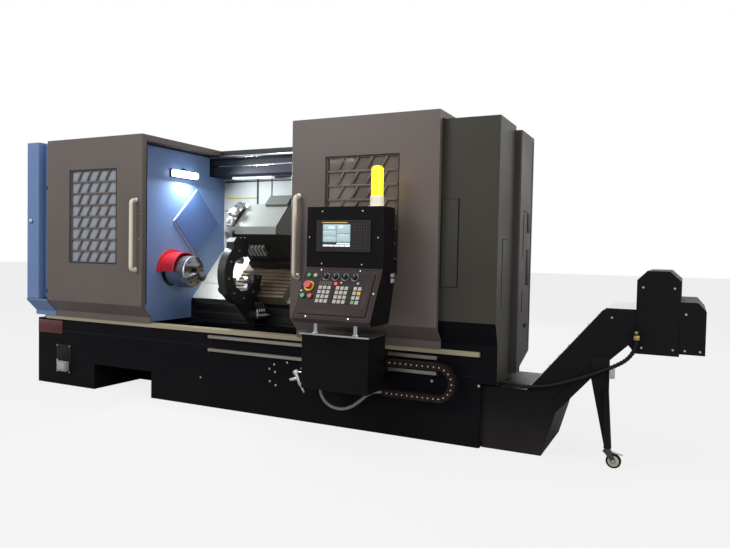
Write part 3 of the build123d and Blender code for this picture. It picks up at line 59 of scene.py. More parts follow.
# %% Places on the machine
LAYOUT_SHIFT = Vector((-2640, -257.5, 0))
MM = 0.001


def at(x, y, z):
    """Place in the model's frame, from millimetres in the machine's layout."""
    return (Vector((x, y, z)) + LAYOUT_SHIFT) * MM


print("base corner at", tuple(round(c, 3) for c in at(0, 0, 0)))

# %% [markdown]
# The camera repeats the photograph's viewpoint: it stands to the right of the machine at eye height and looks a
# little to the left and down. A camera's own axes are its right, its up and the way back out of the picture, so the
# three directions go straight into its matrix.

# %% Camera
CAMERA_PLACE = at(5179.58, -3941.08, 1211.38)
YAW, PITCH, ROLL = radians(26.22), radians(1.98), radians(-1.12)
forward = Vector((-sin(YAW) * cos(PITCH), cos(YAW) * cos(PITCH), -sin(PITCH)))
level_right = Vector((cos(YAW), sin(YAW), 0))
level_up = level_right.cross(forward)
right = level_right * cos(ROLL) - level_up * sin(ROLL)
up = level_right * sin(ROLL) + level_up * cos(ROLL)
camera_data = bpy.data.cameras.new("camera")
camera_data.lens = 32.3
camera_data.sensor_width = 36
camera_data.sensor_fit = "HORIZONTAL"
camera_data.clip_end = 200
camera = bpy.data.objects.new("camera", camera_data)
turn = Matrix((right, up, -forward)).transposed().to_4x4()
camera.matrix_world = Matrix.Translation(CAMERA_PLACE) @ turn
scene.collection.objects.link(camera)
scene.camera = camera
print("camera at", tuple(round(c, 2) for c in CAMERA_PLACE))

# %% [markdown]
# A finish is a small graph of nodes. Four helpers keep each one short: one turns a paint chart's hex value into the
# linear numbers that the renderer works in, one adds a node with its settings and its links, one starts a finish, and
# one leads its colour, gloss and relief to the shader.

# %% Colour and node helpers
# Inputs of a node that mixes two colours, and its output.
SHARE, FIRST, SECOND, MIXED = 0, 6, 7, 2


def linear(hex_color, alpha=1.0):
    """Linear colour of an sRGB hex value."""
    channels = [int(hex_color[i:i + 2], 16) / 255 for i in (1, 3, 5)]
    return (*[c / 12.92 if c <= 0.04045 else ((c + 0.055) / 1.055) ** 2.4 for c in channels], alpha)


def add(tree, kind, links=None, inputs=None, **settings):
    """Add a node: settings are its own options, inputs its values, links the outputs that feed it."""
    node = tree.nodes.new(kind)
    for name, value in settings.items():
        setattr(node, name, value)
    for name, value in (inputs or {}).items():
        node.inputs[name].default_value = value
    for name, output in (links or {}).items():
        tree.links.new(output, node.inputs[name])
    return node


def start_finish(name, **values):
    """New material with its shader and the surface's own coordinates."""
    finish = bpy.data.materials.new(name)
    finish.use_nodes = True
    tree = finish.node_tree
    tree.nodes.clear()
    shader = add(tree, "ShaderNodeBsdfPrincipled", inputs=values)
    add(tree, "ShaderNodeOutputMaterial", links={"Surface": shader.outputs["BSDF"]})
    place = add(tree, "ShaderNodeTexCoord").outputs["Object"]
    return finish, tree, shader, place


def finish_skin(tree, shader, color, gloss, rough, relief, bump):
    """Lead a colour, a gloss that varies with one noise and a relief from another to the shader."""
    shine = add(tree, "ShaderNodeMapRange", {"Value": gloss.outputs["Fac"]},
                {"From Min": 0.3, "From Max": 0.7, "To Min": rough[0], "To Max": rough[1]})
    dents = add(tree, "ShaderNodeBump", {"Height": relief.outputs["Fac"]}, {"Strength": bump[0], "Distance": bump[1]})
    tree.links.new(color.outputs[MIXED], shader.inputs["Base Color"])
    tree.links.new(shine.outputs["Result"], shader.inputs["Roughness"])
    tree.links.new(dents.outputs["Normal"], shader.inputs["Normal"])


print("helpers ready")

# %% [markdown]
# Most of the machine is powder-coated sheet steel. The powder melts into a skin with a fine orange peel, 2 to 3 mm
# from crest to crest, and the tone drifts a little over a panel. Noise at those two real sizes gives both. Dust and
# dried coolant settle near the floor, so low places turn a little paler.

# %% Powder coat
def powder_coat(name, tone, drift, rough, peel_mm=2.6, cloud_mm=420, dust="#5A544C", dust_height=0.35,
                specular=0.35):
    """Powder-coated steel with orange peel, a drift of tone and dust near the floor."""
    finish, tree, shader, place = start_finish(name, **{"Specular IOR Level": specular})
    cloud = add(tree, "ShaderNodeTexNoise", {"Vector": place}, {"Scale": 1000 / cloud_mm, "Detail": 4.0})
    peel = add(tree, "ShaderNodeTexNoise", {"Vector": place}, {"Scale": 1000 / peel_mm, "Detail": 2.0})
    coat = add(tree, "ShaderNodeMix", {SHARE: cloud.outputs["Fac"]}, {FIRST: linear(drift), SECOND: linear(tone)},
               data_type="RGBA")
    height = add(tree, "ShaderNodeSeparateXYZ", {"Vector": place})
    low = add(tree, "ShaderNodeMapRange", {"Value": height.outputs["Z"]},
              {"From Min": 0.0, "From Max": dust_height, "To Min": 0.32, "To Max": 0.0})
    settled = add(tree, "ShaderNodeMath", {0: low.outputs["Result"], 1: cloud.outputs["Fac"]}, operation="MULTIPLY")
    skin = add(tree, "ShaderNodeMix", {SHARE: settled.outputs[0], FIRST: coat.outputs[MIXED]},
               {SECOND: linear(dust)}, data_type="RGBA")
    finish_skin(tree, shader, skin, cloud, (rough - 0.05, rough + 0.07), peel, (0.12, 0.0006))
    return finish


blue_coat = powder_coat("blue_powder_coat", "#6F86AE", "#5F77A2", 0.42)
door_coat = powder_coat("grey_brown_powder_coat", "#665C57", "#584F4A", 0.40)
graphite_coat = powder_coat("graphite_powder_coat", "#3B382F", "#302D27", 0.42, specular=0.28)
cabinet_coat = powder_coat("cabinet_powder_coat", "#433E3B", "#393533", 0.40, specular=0.28)
base_coat = powder_coat("black_base_coat", "#0F0E12", "#0B0A0D", 0.46, dust="#211E1B", specular=0.06)
pendant_coat = powder_coat("black_brown_pendant_coat", "#121012", "#0E0C0E", 0.44, peel_mm=3.0, specular=0.07)
console_coat = powder_coat("dark_brown_console_coat", "#3A302E", "#322927", 0.42, peel_mm=3.0, specular=0.12)
conveyor_coat = powder_coat("black_conveyor_coat", "#161517", "#111012", 0.45, specular=0.07)
beam_coat = powder_coat("dark_beam_coat", "#2C2E36", "#23252C", 0.40)
wall_coat = powder_coat("pale_wall_coat", "#B6B8B0", "#A6A8A0", 0.45)
track_coat = powder_coat("beige_track_coat", "#AA9F85", "#978C74", 0.40)
turret_coat = powder_coat("pale_grey_machine_coat", "#9A9C95", "#8B8D86", 0.42)
black_arm_coat = powder_coat("black_machine_coat", "#232524", "#1A1C1B", 0.38)
motor_coat = powder_coat("motor_grey_coat", "#4A4F55", "#41464B", 0.5)
inner_dark_coat = powder_coat("inner_dark_coat", "#201F1E", "#181716", 0.5)
apron_coat = powder_coat("brown_apron_coat", "#857665", "#746656", 0.42)
mid_grey_coat = powder_coat("mid_grey_machine_coat", "#767872", "#676963", 0.42)
# Darker blue for the bulkhead's raised plate: painted shade on that plate.
blue_plate_shade_coat = powder_coat("painted_shade_blue_plate_coat", "#4E6694", "#435A86", 0.42)
print("powder coats:", len(bpy.data.materials))

# %% [markdown]
# Bare metal has two faces here. Ground and rolled steel carries streaks along the way it was worked, so its noise is
# stretched in one direction. The chuck was turned on a lathe itself, so its marks are rings about the spindle. Real
# marks are too fine to show here, so the streaks are drawn a millimetre or more wide and the rings 15 mm apart. Chrome
# is smooth with faint smears.

# %% Bare metals
def worked_steel(name, tone, drift, rough, streak_mm=(90, 1.6, 1.6)):
    """Ground or rolled steel with streaks along the first long direction of streak_mm."""
    finish, tree, shader, place = start_finish(name, Metallic=1.0)
    scale = tuple(1000 / size for size in streak_mm)
    stretched = add(tree, "ShaderNodeMapping", {"Vector": place}, {"Scale": scale})
    streak = add(tree, "ShaderNodeTexNoise", {"Vector": stretched.outputs[0]}, {"Scale": 1.0, "Detail": 3.0})
    blotch = add(tree, "ShaderNodeTexNoise", {"Vector": place}, {"Scale": 1000 / 160, "Detail": 3.0})
    tones = add(tree, "ShaderNodeMix", {SHARE: blotch.outputs["Fac"]}, {FIRST: linear(drift), SECOND: linear(tone)},
                data_type="RGBA")
    finish_skin(tree, shader, tones, streak, (rough - 0.07, rough + 0.1), streak, (0.08, 0.0004))
    return finish


WAVE_RINGS = 20 / (2 * pi)


def turned_steel(name, tone, groove_mm, center):
    """Steel turned about an axis along X; a wave texture of scale 1 has WAVE_RINGS rings to the metre."""
    finish, tree, shader, place = start_finish(name, Metallic=1.0)
    shader.inputs["Base Color"].default_value = linear(tone)
    centred = add(tree, "ShaderNodeMapping", {"Vector": place}, {"Location": (-center.x, -center.y, -center.z)})
    rings = add(tree, "ShaderNodeTexWave", {"Vector": centred.outputs[0]},
                {"Scale": 1000 / groove_mm / WAVE_RINGS, "Distortion": 0.6, "Detail": 2.0},
                wave_type="RINGS", rings_direction="X")
    gloss = add(tree, "ShaderNodeMapRange", {"Value": rings.outputs["Fac"]}, {"To Min": 0.2, "To Max": 0.36})
    bump = add(tree, "ShaderNodeBump", {"Height": rings.outputs["Fac"]}, {"Strength": 0.1, "Distance": 0.0003})
    tree.links.new(gloss.outputs["Result"], shader.inputs["Roughness"])
    tree.links.new(bump.outputs["Normal"], shader.inputs["Normal"])
    return finish


CHUCK_X, SPINDLE_Y, SPINDLE_Z = 1490, 325, 1013
cover_steel = worked_steel("rolled_cover_steel", "#D3CFC2", "#C2BEB1", 0.48)
way_steel = worked_steel("ground_way_steel", "#B9BABC", "#A6A7AA", 0.26)
rail_steel = worked_steel("dull_rail_steel", "#98938A", "#868178", 0.40, (200, 6, 6))
rail_chrome = worked_steel("hard_chrome", "#D2D3D6", "#C2C3C6", 0.16, (200, 6, 6))
silver_block = worked_steel("milled_silver_steel", "#C3C3C1", "#AEAEAC", 0.30, (30, 30, 2))
dark_steel = worked_steel("blackened_tool_steel", "#5C5D5E", "#494A4B", 0.36)
top_plate_steel = worked_steel("bright_sheet_steel", "#CFCDC8", "#B9B7B2", 0.20)
zinc_steel = worked_steel("zinc_plated_steel", "#C4C2BA", "#AFADA6", 0.32, (12, 12, 12))
brass = worked_steel("dull_brass", "#B59A6C", "#9C8258", 0.38, (10, 10, 10))
chuck_steel = turned_steel("turned_chuck_steel", "#B4B6B8", 15.08, at(CHUCK_X, SPINDLE_Y, SPINDLE_Z))
print("metals ready")

# %% [markdown]
# Plastics and rubber are moulded. A spark-eroded mould leaves a grain of a few tenths of a millimetre, which the eye
# sees as a soft, broken gloss. That is too fine to show here, so the grain is drawn at a millimetre or more. One
# function makes them all: tone, roughness and grain are what tell a shiny button from a matt key.

# %% Moulded plastics and rubber
def moulded(name, tone, drift, rough, grain_mm=1.2, glow=0.0, glow_tone=None, **values):
    """Moulded plastic or rubber with a fine mould grain, and a glow: a lamp's light, and on the beacon's foot a painted
    glow.
    """
    finish, tree, shader, place = start_finish(name, **values)
    grain = add(tree, "ShaderNodeTexNoise", {"Vector": place}, {"Scale": 1000 / grain_mm, "Detail": 2.0})
    cloud = add(tree, "ShaderNodeTexNoise", {"Vector": place}, {"Scale": 1000 / 45, "Detail": 2.0})
    tones = add(tree, "ShaderNodeMix", {SHARE: cloud.outputs["Fac"]}, {FIRST: linear(drift), SECOND: linear(tone)},
                data_type="RGBA")
    finish_skin(tree, shader, tones, grain, (rough - 0.04, rough + 0.05), grain, (0.1, 0.0003))
    if glow:
        shader.inputs["Emission Color"].default_value = linear(glow_tone or tone)
        shader.inputs["Emission Strength"].default_value = glow
    return finish


MATT = {"Specular IOR Level": 0.15}
black_plastic = moulded("black_polyamide", "#151416", "#0F0E10", 0.48, **MATT)
grey_plastic = moulded("grey_abs", "#6B6C70", "#5E5F63", 0.45)
pale_grey_plastic = moulded("pale_grey_abs", "#A9AAAC", "#9B9C9E", 0.45)
display_plastic = moulded("charcoal_abs", "#2F2C2D", "#272526", 0.5, **MATT)
panel_film = moulded("brown_black_panel_film", "#2B2323", "#241D1D", 0.42, **MATT)
key_plastic = moulded("pale_key_abs", "#B5AFA6", "#A39D94", 0.45)
display_key = moulded("dark_key_abs", "#3F3B3C", "#363233", 0.5, **MATT)
handle_plastic = moulded("cream_handle_coat", "#E6DCC3", "#D9CEB4", 0.32)
red_gloss = moulded("red_button_plastic", "#C01F22", "#A8181B", 0.28, 2.0)
green_gloss = moulded("green_button_plastic", "#2F9A4E", "#278241", 0.28, 2.0)
yellow_gloss = moulded("yellow_trim_plastic", "#E0B81E", "#CDA415", 0.35, 2.0)
faded_yellow = moulded("faded_yellow_marker_tape", "#B9A93A", "#A6972F", 0.5, 2.0)
guard_red = moulded("red_guard_enamel", "#D8262F", "#C41E26", 0.24, 4.0, **{"Coat Weight": 0.5})
plate_red = moulded("dark_red_plate_enamel", "#541A20", "#46151A", 0.34, 3.0)
# White enamel for the knob pointers; on the bulkhead plate's front edges the same white is a painted highlight.
white_enamel_and_highlight = moulded("white_paint_and_painted_edge_highlight", "#E4E6E6", "#D5D8D8", 0.45)
rubber = moulded("black_rubber", "#121212", "#0C0C0C", 0.68, 1.6, **MATT)
beige_tread = moulded("beige_polyurethane", "#B4AC96", "#A49C86", 0.45)
chain_plastic = moulded("dark_brown_polyamide", "#1F1713", "#181110", 0.5, **MATT)
pin_cream = moulded("cream_pin_acetal", "#CFC3A8", "#BDB196", 0.4)
hose_black = moulded("black_polyamide_conduit", "#121213", "#0C0C0D", 0.40, **MATT)
conduit_grey = moulded("grey_braided_conduit", "#A19C95", "#8A857E", 0.5, 3.0)
beacon_glow = moulded("yellow_beacon_acrylic", "#F5C518", "#F0B800", 0.25, 2.0, glow=2.2, glow_tone="#FFD21A")
# The beacon's white foot and its flange glow faintly: a painted glow of the beacon's light on parts that are no lamp.
beacon_foot_painted_glow = moulded("white_beacon_base_painted_glow", "#E9E4D8", "#DDD7C8", 0.35, 2.0, glow=0.25, glow_tone="#FFF2C8")
lamp_glow = moulded("frosted_lamp_lens", "#F4F8FA", "#EEF3F6", 0.3, 2.0, glow=6.0, glow_tone="#EAF5FF")
red_lamp = moulded("red_signal_lens", "#FF3A2A", "#F0301F", 0.3, 2.0, glow=1.2)
screen_pale = moulded("lit_screen_pale", "#A9BDC1", "#A0B5BA", 0.2, 3.0, glow=0.42)
screen_mid = moulded("lit_screen_grey", "#7F979C", "#778F95", 0.2, 3.0, glow=0.3)
screen_dark = moulded("dark_screen_bar", "#22303A", "#1B2831", 0.2, 3.0)
screen_white = moulded("lit_screen_white", "#E8EFEF", "#DFE8E8", 0.2, 3.0, glow=0.8)
screen_amber = moulded("lit_screen_amber", "#C9A25A", "#B89048", 0.2, 3.0, glow=0.4)
print("plastics ready")

# %% [markdown]
# Cast iron is sand cast, filled and painted, so it is grainy at 3 to 5 mm. The safety glass in the doors is a thick
# pane that lets light through with a little tint. The left one is paler and lets less light through: its pale tint is
# a painted reflection of bright light on the pane. Faint wipe marks break up the gloss of both.

# %% Cast iron and glass
def safety_glass(name, tint, clear):
    """Clear pane with a tint and faint wipe marks."""
    finish, tree, shader, place = start_finish(
        name, **{"Transmission Weight": clear, "IOR": 1.45, "Base Color": linear(tint)})
    wipe = add(tree, "ShaderNodeTexNoise", {"Vector": place}, {"Scale": 1000 / 120, "Detail": 4.0})
    smear = add(tree, "ShaderNodeMapRange", {"Value": wipe.outputs["Fac"]}, {"To Min": 0.06, "To Max": 0.24})
    tree.links.new(smear.outputs["Result"], shader.inputs["Roughness"])
    return finish


iron = powder_coat("painted_cast_iron", "#4A4C4E", "#3E4042", 0.55, peel_mm=4.5, cloud_mm=180)
# The left pane's pale tint is a painted reflection of bright light on the glass.
pale_glass_painted_reflection = safety_glass("pale_safety_glass_painted_reflection", "#A7AEB8", 0.3)
glass = safety_glass("brown_safety_glass", "#A39488", 0.75)
print("materials in all:", len(bpy.data.materials))

# %% [markdown]
# A CAD node keeps its mesh and gets a finish. Where one casting is painted in two colours, or bright metal is fixed
# to a painted part, each face is given a finish by where it lies: a test on the face's centre, in the layout's
# millimetres, says which.

# %% Finishes on the CAD nodes
def dress(name, finish, *others):
    """Give a node its finish, and other finishes to the faces that pass their test."""
    mesh = nodes[name].data
    mesh.materials.clear()
    for material in (finish, *[material for material, test in others]):
        mesh.materials.append(material)
    for face in mesh.polygons:
        spot = Vector(face.center) / MM - LAYOUT_SHIFT
        face.material_index = 0
        for index, (material, test) in enumerate(others, start=1):
            if test(spot, face.normal):
                face.material_index = index


plain = {
    base_coat: ["base_casting"],
    iron: ["slant_bed", "headstock", "motor_pulley", "tailstock_body"],
    way_steel: ["spindle", "tailstock_quill", "steady_quill_1", "steady_quill_2", "steady_quill_3"],
    motor_coat: ["spindle_motor"],
    chuck_steel: ["chuck_body"],
    silver_block: ["chuck_jaw_1", "chuck_jaw_2", "chuck_jaw_3"],
    guard_red: ["chuck_guard"],
    cover_steel: ["way_cover_left_fixed", "way_cover_left_middle", "way_cover_left_carriage",
                  "way_cover_right_fixed", "way_cover_right_carriage"],
    apron_coat: ["carriage"],
    black_arm_coat: ["steady_frame"],
    blue_coat: ["left_end_cover", "left_service_door"],
    lamp_glow: ["work_lamp"],
    wall_coat: ["rear_wall"],
    beam_coat: ["rear_cover"],
    track_coat: ["door_track"],
    cabinet_coat: ["electrical_cabinet"],
    door_coat: ["left_door", "right_door", "left_door_grille", "right_door_grille"],
    pale_glass_painted_reflection: ["left_door_glass"],
    glass: ["right_door_glass"],
    handle_plastic: ["left_door_handle", "right_door_handle"],
    rail_steel: ["pendant_rails"],
    red_gloss: ["emergency_stop", "cycle_stop_button"],
    green_gloss: ["cycle_start_button"],
    chain_plastic: ["cable_chain"],
    black_plastic: ["conduit", "conveyor_hose"],
    conveyor_coat: ["conveyor_head"],
    dark_steel: ["caster_fork"],
    rubber: ["drive_belt", "caster_wheel"],
}
for finish, names in plain.items():
    for name in names:
        dress(name, finish)
print("plain nodes:", sum(len(names) for names in plain.values()))

# %% [markdown]
# Nine nodes carry more than one finish, such as the turret disc with its bright tool holders, the turret housing with
# its pale covers, the bulkhead with its raised plate in a darker blue that paints the shade on it, the right cover with
# its black foot, the beacon with its foot in a faint painted glow, and the conveyor with its bright top plate. The bed
# slopes at 45 degrees, so the turret housing's tests measure up the slope and above it.

# %% Nodes with more than one finish
COLUMN_TOP = 672
BEACON_BASE_TOP = 1552
CONVEYOR_TOP, CONVEYOR_FLOOR = 904, 140
BOX_FRONT = -400
BULKHEAD_FACE = 1250
RIGHT_KNEE = 784
TURRET_Y, TURRET_Z, TURRET_RADIUS = 694.55, 1382.56, 185
HOLDER_RADIUS = TURRET_RADIUS * 0.975
HOUSING_LOW, REAR_COVER_S, DRIVE_COVER_N = 1250, 708, 502
FINS_S, FINS_N = 329, 236
SLOPE_Y, SLOPE_Z = 590, 780
HALF_ROOT = cos(pi / 4)


def up_slope(spot):
    """Distance of a layout place up the bed's slope."""
    return (spot.y + spot.z - SLOPE_Y - SLOPE_Z) * HALF_ROOT


def above_slope(spot):
    """Height of a layout place above the bed's slope."""
    return (spot.z - spot.y - SLOPE_Z + SLOPE_Y) * HALF_ROOT


dress("turret_disc", dark_steel,
      (silver_block, lambda p, n: (p.y - TURRET_Y) ** 2 + (p.z - TURRET_Z) ** 2 > HOLDER_RADIUS ** 2))
dress("cross_slide", inner_dark_coat,
      (turret_coat, lambda p, n: (n.z > 0.3 or n.y < -0.9) and p.z > HOUSING_LOW),
      (mid_grey_coat, lambda p, n: up_slope(p) > REAR_COVER_S or above_slope(p) > DRIVE_COVER_N),
      (turret_coat, lambda p, n: up_slope(p) < FINS_S and above_slope(p) > FINS_N))
dress("bed_guideways", way_steel, (inner_dark_coat, lambda p, n: n.y < -0.9))
# The raised plate's darker blue is painted shade.
dress("headstock_bulkhead", blue_coat, (blue_plate_shade_coat, lambda p, n: p.x > BULKHEAD_FACE + 1))
dress("right_front_cover", graphite_coat, (base_coat, lambda p, n: p.z < RIGHT_KNEE and n.y < -0.2))
dress("pendant_column", pendant_coat, (rail_chrome, lambda p, n: p.z > COLUMN_TOP + 1))
# The foot's faint glow is painted light from the beacon.
dress("beacon", beacon_foot_painted_glow, (beacon_glow, lambda p, n: p.z > BEACON_BASE_TOP + 2))
dress("conveyor_housing", conveyor_coat,
      (top_plate_steel, lambda p, n: p.z > CONVEYOR_TOP and n.z > 0.5),
      (dark_steel, lambda p, n: p.z < CONVEYOR_FLOOR and n.z > 0.5))
dress("pendant_housing", pendant_coat, (console_coat, lambda p, n: p.y < BOX_FRONT - 2 and n.y < -0.3))
print("nodes with more than one finish done")

# %% [markdown]
# The console's slope has its own coordinates: u to the right, v down the slope and h out of it. The same three
# directions place every key, knob and button, and they tell the faces of the operator panel apart.

# %% Console coordinates
CONSOLE_CORNER = Vector((3019, -400, 1107))
CONSOLE_DOWN = Vector((0, -165, -307)).normalized()
CONSOLE_OUT = Vector((0, -307, 165)).normalized()
PANEL_RISE = 6


def console_uvh(spot):
    """Console coordinates of a place in the layout."""
    way = spot - CONSOLE_CORNER
    return way.x, way.dot(CONSOLE_DOWN), way.dot(CONSOLE_OUT)


def on_console(u, v, h):
    """Place in the model's frame from console coordinates."""
    spot = CONSOLE_CORNER + Vector((u, 0, 0)) + CONSOLE_DOWN * v + CONSOLE_OUT * h
    return at(*spot)


def in_console(u0, u1, v0, v1):
    """Test for faces that stand out of the panel between two corners."""
    def test(spot, normal):
        u, v, h = console_uvh(spot)
        return h > PANEL_RISE + 0.5 and u0 < u < u1 and v0 < v < v1
    return test


dress("operator_panel", panel_film,
      (key_plastic, in_console(130, 440, 120, 250)),
      (yellow_gloss, in_console(406, 434, 156, 184)),
      (green_gloss, in_console(376, 404, 216, 244)),
      (panel_film, in_console(227, 253, 120, 250)),
      (panel_film, in_console(347, 373, 120, 250)),
      (black_plastic, in_console(140, 400, 40, 95)),
      (green_gloss, in_console(30, 72, 40, 90)),
      (key_plastic, in_console(72, 120, 40, 90)))
dress("control_display", display_plastic,
      (display_key, lambda p, n: p.x > 3345 and p.y < -412.5),
      (screen_dark, lambda p, n: 3139 < p.x < 3339 and p.y > -409 and n.y < -0.5))
print("panel and display dressed")

# %% [markdown]
# New pieces start from a cube or a cone that bmesh makes, which is then stretched, bevelled or inset. Six helpers do
# the repeated work: a slab with rounded edges, a slab in a tilted frame, a round bar, a socket screw, the step that
# turns a bmesh into a piece that rides on a body, and a piece made of slabs alone.

# %% Modelling helpers
SHARP = radians(35)
SOCKET_RIM, SOCKET_WALL, SOCKET_DEPTH = 0.42, 0.05, 0.6


def slab(bm, low, high, edge=1.0, turn=None):
    """Block between two corners in layout millimetres, with rounded edges."""
    low, high = at(*low), at(*high)
    middle = (low + high) / 2
    shape = Matrix.Translation(middle) @ (turn or Matrix()) @ Matrix.Diagonal((*(high - low), 1))
    made = bmesh.ops.create_cube(bm, size=1, matrix=shape)
    edges = list({link for vert in made["verts"] for link in vert.link_edges})
    if edge:
        bmesh.ops.bevel(bm, geom=edges, offset=edge * MM, segments=2, profile=0.5, affect="EDGES", material=-1)


def tilted_slab(bm, tilt, low, high, edge):
    """Block between two corners measured in a tilted frame, which is an origin and three axes."""
    origin, axes = tilt
    turn = Matrix(axes).transposed().to_4x4()
    half = (Vector(high) - Vector(low)) / 2
    middle = origin + turn.to_3x3() @ (Vector(low) + half)
    slab(bm, middle - half, middle + half, edge, turn)


def bar(bm, start, way, radius, length, tip=None, segments=20, edge=0.0):
    """Round bar from a place in the model's frame along a direction; radius, tip and length in millimetres."""
    way = Vector(way).normalized()
    turn = Vector((0, 0, 1)).rotation_difference(way).to_matrix().to_4x4()
    shape = Matrix.Translation(start + way * length * MM / 2) @ turn
    made = bmesh.ops.create_cone(
        bm, cap_ends=True, cap_tris=False, segments=segments, radius1=radius * MM,
        radius2=(radius if tip is None else tip) * MM, depth=length * MM, matrix=shape)
    faces = {face for vert in made["verts"] for face in vert.link_faces}
    caps = [face for face in faces if len(face.verts) == segments]
    if edge:
        rims = list({link for face in caps for link in face.edges})
        bmesh.ops.bevel(bm, geom=rims, offset=edge * MM, segments=2, profile=0.5, affect="EDGES", material=-1)
    caps = [face for face in caps if face.is_valid]
    return max(caps, key=lambda face: face.calc_center_median().dot(way)) if caps else None


def socket_screw(bm, spot, way, radius=5.0, height=4.0):
    """Socket head screw that stands on a surface."""
    head = bar(bm, spot, way, radius, height, segments=12)
    bmesh.ops.inset_individual(bm, faces=[head], thickness=radius * SOCKET_RIM * MM, depth=0)
    bmesh.ops.inset_individual(bm, faces=[head], thickness=radius * SOCKET_WALL * MM, depth=-height * SOCKET_DEPTH * MM)


def new_piece(name, bm, finish, body):
    """Turn a bmesh into a piece that rides on a body, or on none when no body is given."""
    mesh = bpy.data.meshes.new(name)
    bmesh.ops.recalc_face_normals(bm, faces=bm.faces)
    bm.to_mesh(mesh)
    bm.free()
    mesh.shade_smooth()
    mesh.set_sharp_from_angle(angle=SHARP)
    mesh.materials.append(finish)
    piece = bpy.data.objects.new(name, mesh)
    scene.collection.objects.link(piece)
    if body:
        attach(piece, body)
    print(name, len(mesh.polygons), "faces")
    return piece


def blocks(name, finish, body, slot, *shapes):
    """Piece made of slabs, each given by its two corners and its edge."""
    bm = bmesh.new()
    for low, high, edge in shapes:
        slab(bm, low, high, edge)
    return new_piece(name, bm, finish, body)


FRONT, UP, RIGHT = Vector((0, -1, 0)), Vector((0, 0, 1)), Vector((1, 0, 0))
print("modelling helpers ready")

# %% [markdown]
# Two flexible conduits leave the machine's housings. Each is one smooth NURBS line through the route that CAD laid
# out. A ribbed conduit is a thin core with a ring at every rib, so the rings follow points read from that same line
# before it is given its thickness.

# %% Conduit helper
def ribbed_conduit(name, route, diameter, rib_pitch, rib_share, finish, body):
    """NURBS core and its ribs; returns both pieces."""
    curve = bpy.data.curves.new(name, "CURVE")
    curve.dimensions = "3D"
    curve.resolution_u = 16
    spline = curve.splines.new("NURBS")
    spline.points.add(len(route) - 1)
    for point, place in zip(spline.points, route):
        point.co = (*at(*place), 1)
    spline.order_u = 3
    spline.use_endpoint_u = True
    core = bpy.data.objects.new(name, curve)
    scene.collection.objects.link(core)
    bpy.context.view_layer.update()
    line = bpy.data.meshes.new_from_object(core.evaluated_get(bpy.context.evaluated_depsgraph_get()))
    points = [vert.co.copy() for vert in line.vertices]
    curve.bevel_depth = diameter * 0.42 * MM
    curve.bevel_resolution = 4
    curve.use_fill_caps = True
    curve.materials.append(finish)
    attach(core, body)
    bm = bmesh.new()
    gone, due = 0.0, rib_pitch * MM / 2
    for here, there in zip(points, points[1:]):
        step = (there - here).length
        while step and due <= gone + step:
            spot = here.lerp(there, (due - gone) / step)
            way = (there - here).normalized()
            width = rib_pitch * rib_share
            bar(bm, spot - way * width * MM / 2, way, diameter / 2, width, segments=16, edge=width / 3)
            due += rib_pitch * MM
        gone += step
    ribs = new_piece(name + "_ribs", bm, finish, body)
    print(name, "line length", round(gone, 3))
    return core, ribs


# %% Conduits
CONDUIT_ROUTE = [
    (2995, -150, 322), (2995, -150, 270), (3014, -149, 224), (3048, -146, 188), (3093, -138, 166), (3149, -127, 160),
    (3208, -115, 178), (3266, -104, 222), (3322, -95, 275), (3378, -88, 300), (3434, -88, 300),
]
HOSE_ROUTE = [
    (4150, 19, 430), (4212, 19, 430), (4312, 17, 412), (4420, 17, 424), (4528, 17, 454), (4632, 17, 494),
    (4728, 17, 536), (4816, 20, 580), (4880, 22, 619), (4917, 23, 665), (4935, 24, 716), (4935, 24, 770),
]
conduit, conduit_ribs = ribbed_conduit(
    "column_conduit", CONDUIT_ROUTE, 22, 5.5, 0.6, conduit_grey, "pendant")
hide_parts("conduit")
hose, hose_ribs = ribbed_conduit(
    "chip_conveyor_conduit", HOSE_ROUTE, 26, 20, 0.36, hose_black, "machine")
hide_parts("conveyor_hose")

# %% [markdown]
# The base front has a dark red plate at its left end, a power isolator with a socket below it, a few panel seams and
# some bolts. Each is a thin piece seated on the base's front face.

# %% Base front
ISOLATOR_FRONT, ISOLATOR_RIGHT = -6, 424
RED_PLATE = ((9, -5, 441), (314, 0, 556), 2)
ISOLATOR_PLATE = ((244, ISOLATOR_FRONT, 104), (ISOLATOR_RIGHT, 0, 352), 3)
BASE_SEAMS = (((318, -3, 468), (1930, 0, 473), 1), ((1934, -3, 405), (1941, 0, 565), 1),
              ((3775, -3, 440), (4040, 0, 444), 1))
SOCKET_BOX, SOCKET_LID = ((300, -46, 124), (404, ISOLATOR_FRONT, 208), 7), ((308, -54, 138), (396, -46, 200), 4)
SOCKET_HINGE = ((322, -50, 206), (382, -30, 214), 3)
blocks("bare_name_plate", plate_red, "machine", "guard_red", RED_PLATE)
blocks("isolator_plate_and_seams", black_plastic, "machine", "base_black", ISOLATOR_PLATE, *BASE_SEAMS)
blocks("isolator_socket", pale_grey_plastic, "machine", "display_grey", SOCKET_BOX, SOCKET_LID, SOCKET_HINGE)

# %% Base bolts and isolator handle
GRIP_X, GRIP_LOW, GRIP_LENGTH, GRIP_POSTS = 278, 128, 96, (140, 212)
BASE_BOLTS = ((2524, 383), (2484, 348), (2532, 329), (2488, 258), (2539, 234), (2756, 376), (2634, 406),
              (1850, 221), (4042, 391), (3733, 389), (258, 340), (410, 340), (258, 116), (410, 116))
bm = bmesh.new()
bar(bm, at(GRIP_X, ISOLATOR_FRONT - 18, GRIP_LOW), UP, 6, GRIP_LENGTH, edge=2)
for z in GRIP_POSTS:
    bar(bm, at(GRIP_X, ISOLATOR_FRONT, z), FRONT, 5, 18, edge=1)
for x, z in BASE_BOLTS:
    socket_screw(bm, at(x, ISOLATOR_FRONT if x < ISOLATOR_RIGHT else 0, z), FRONT, 8, 6)
new_piece("base_bolts", bm, zinc_steel, "machine")

# %% [markdown]
# Sliding doors are folded trays. What the eye reads up close is the trim: a thin frame round the window, the feet of
# the pull handle with their screws, and the rubber seal on the meeting edge.

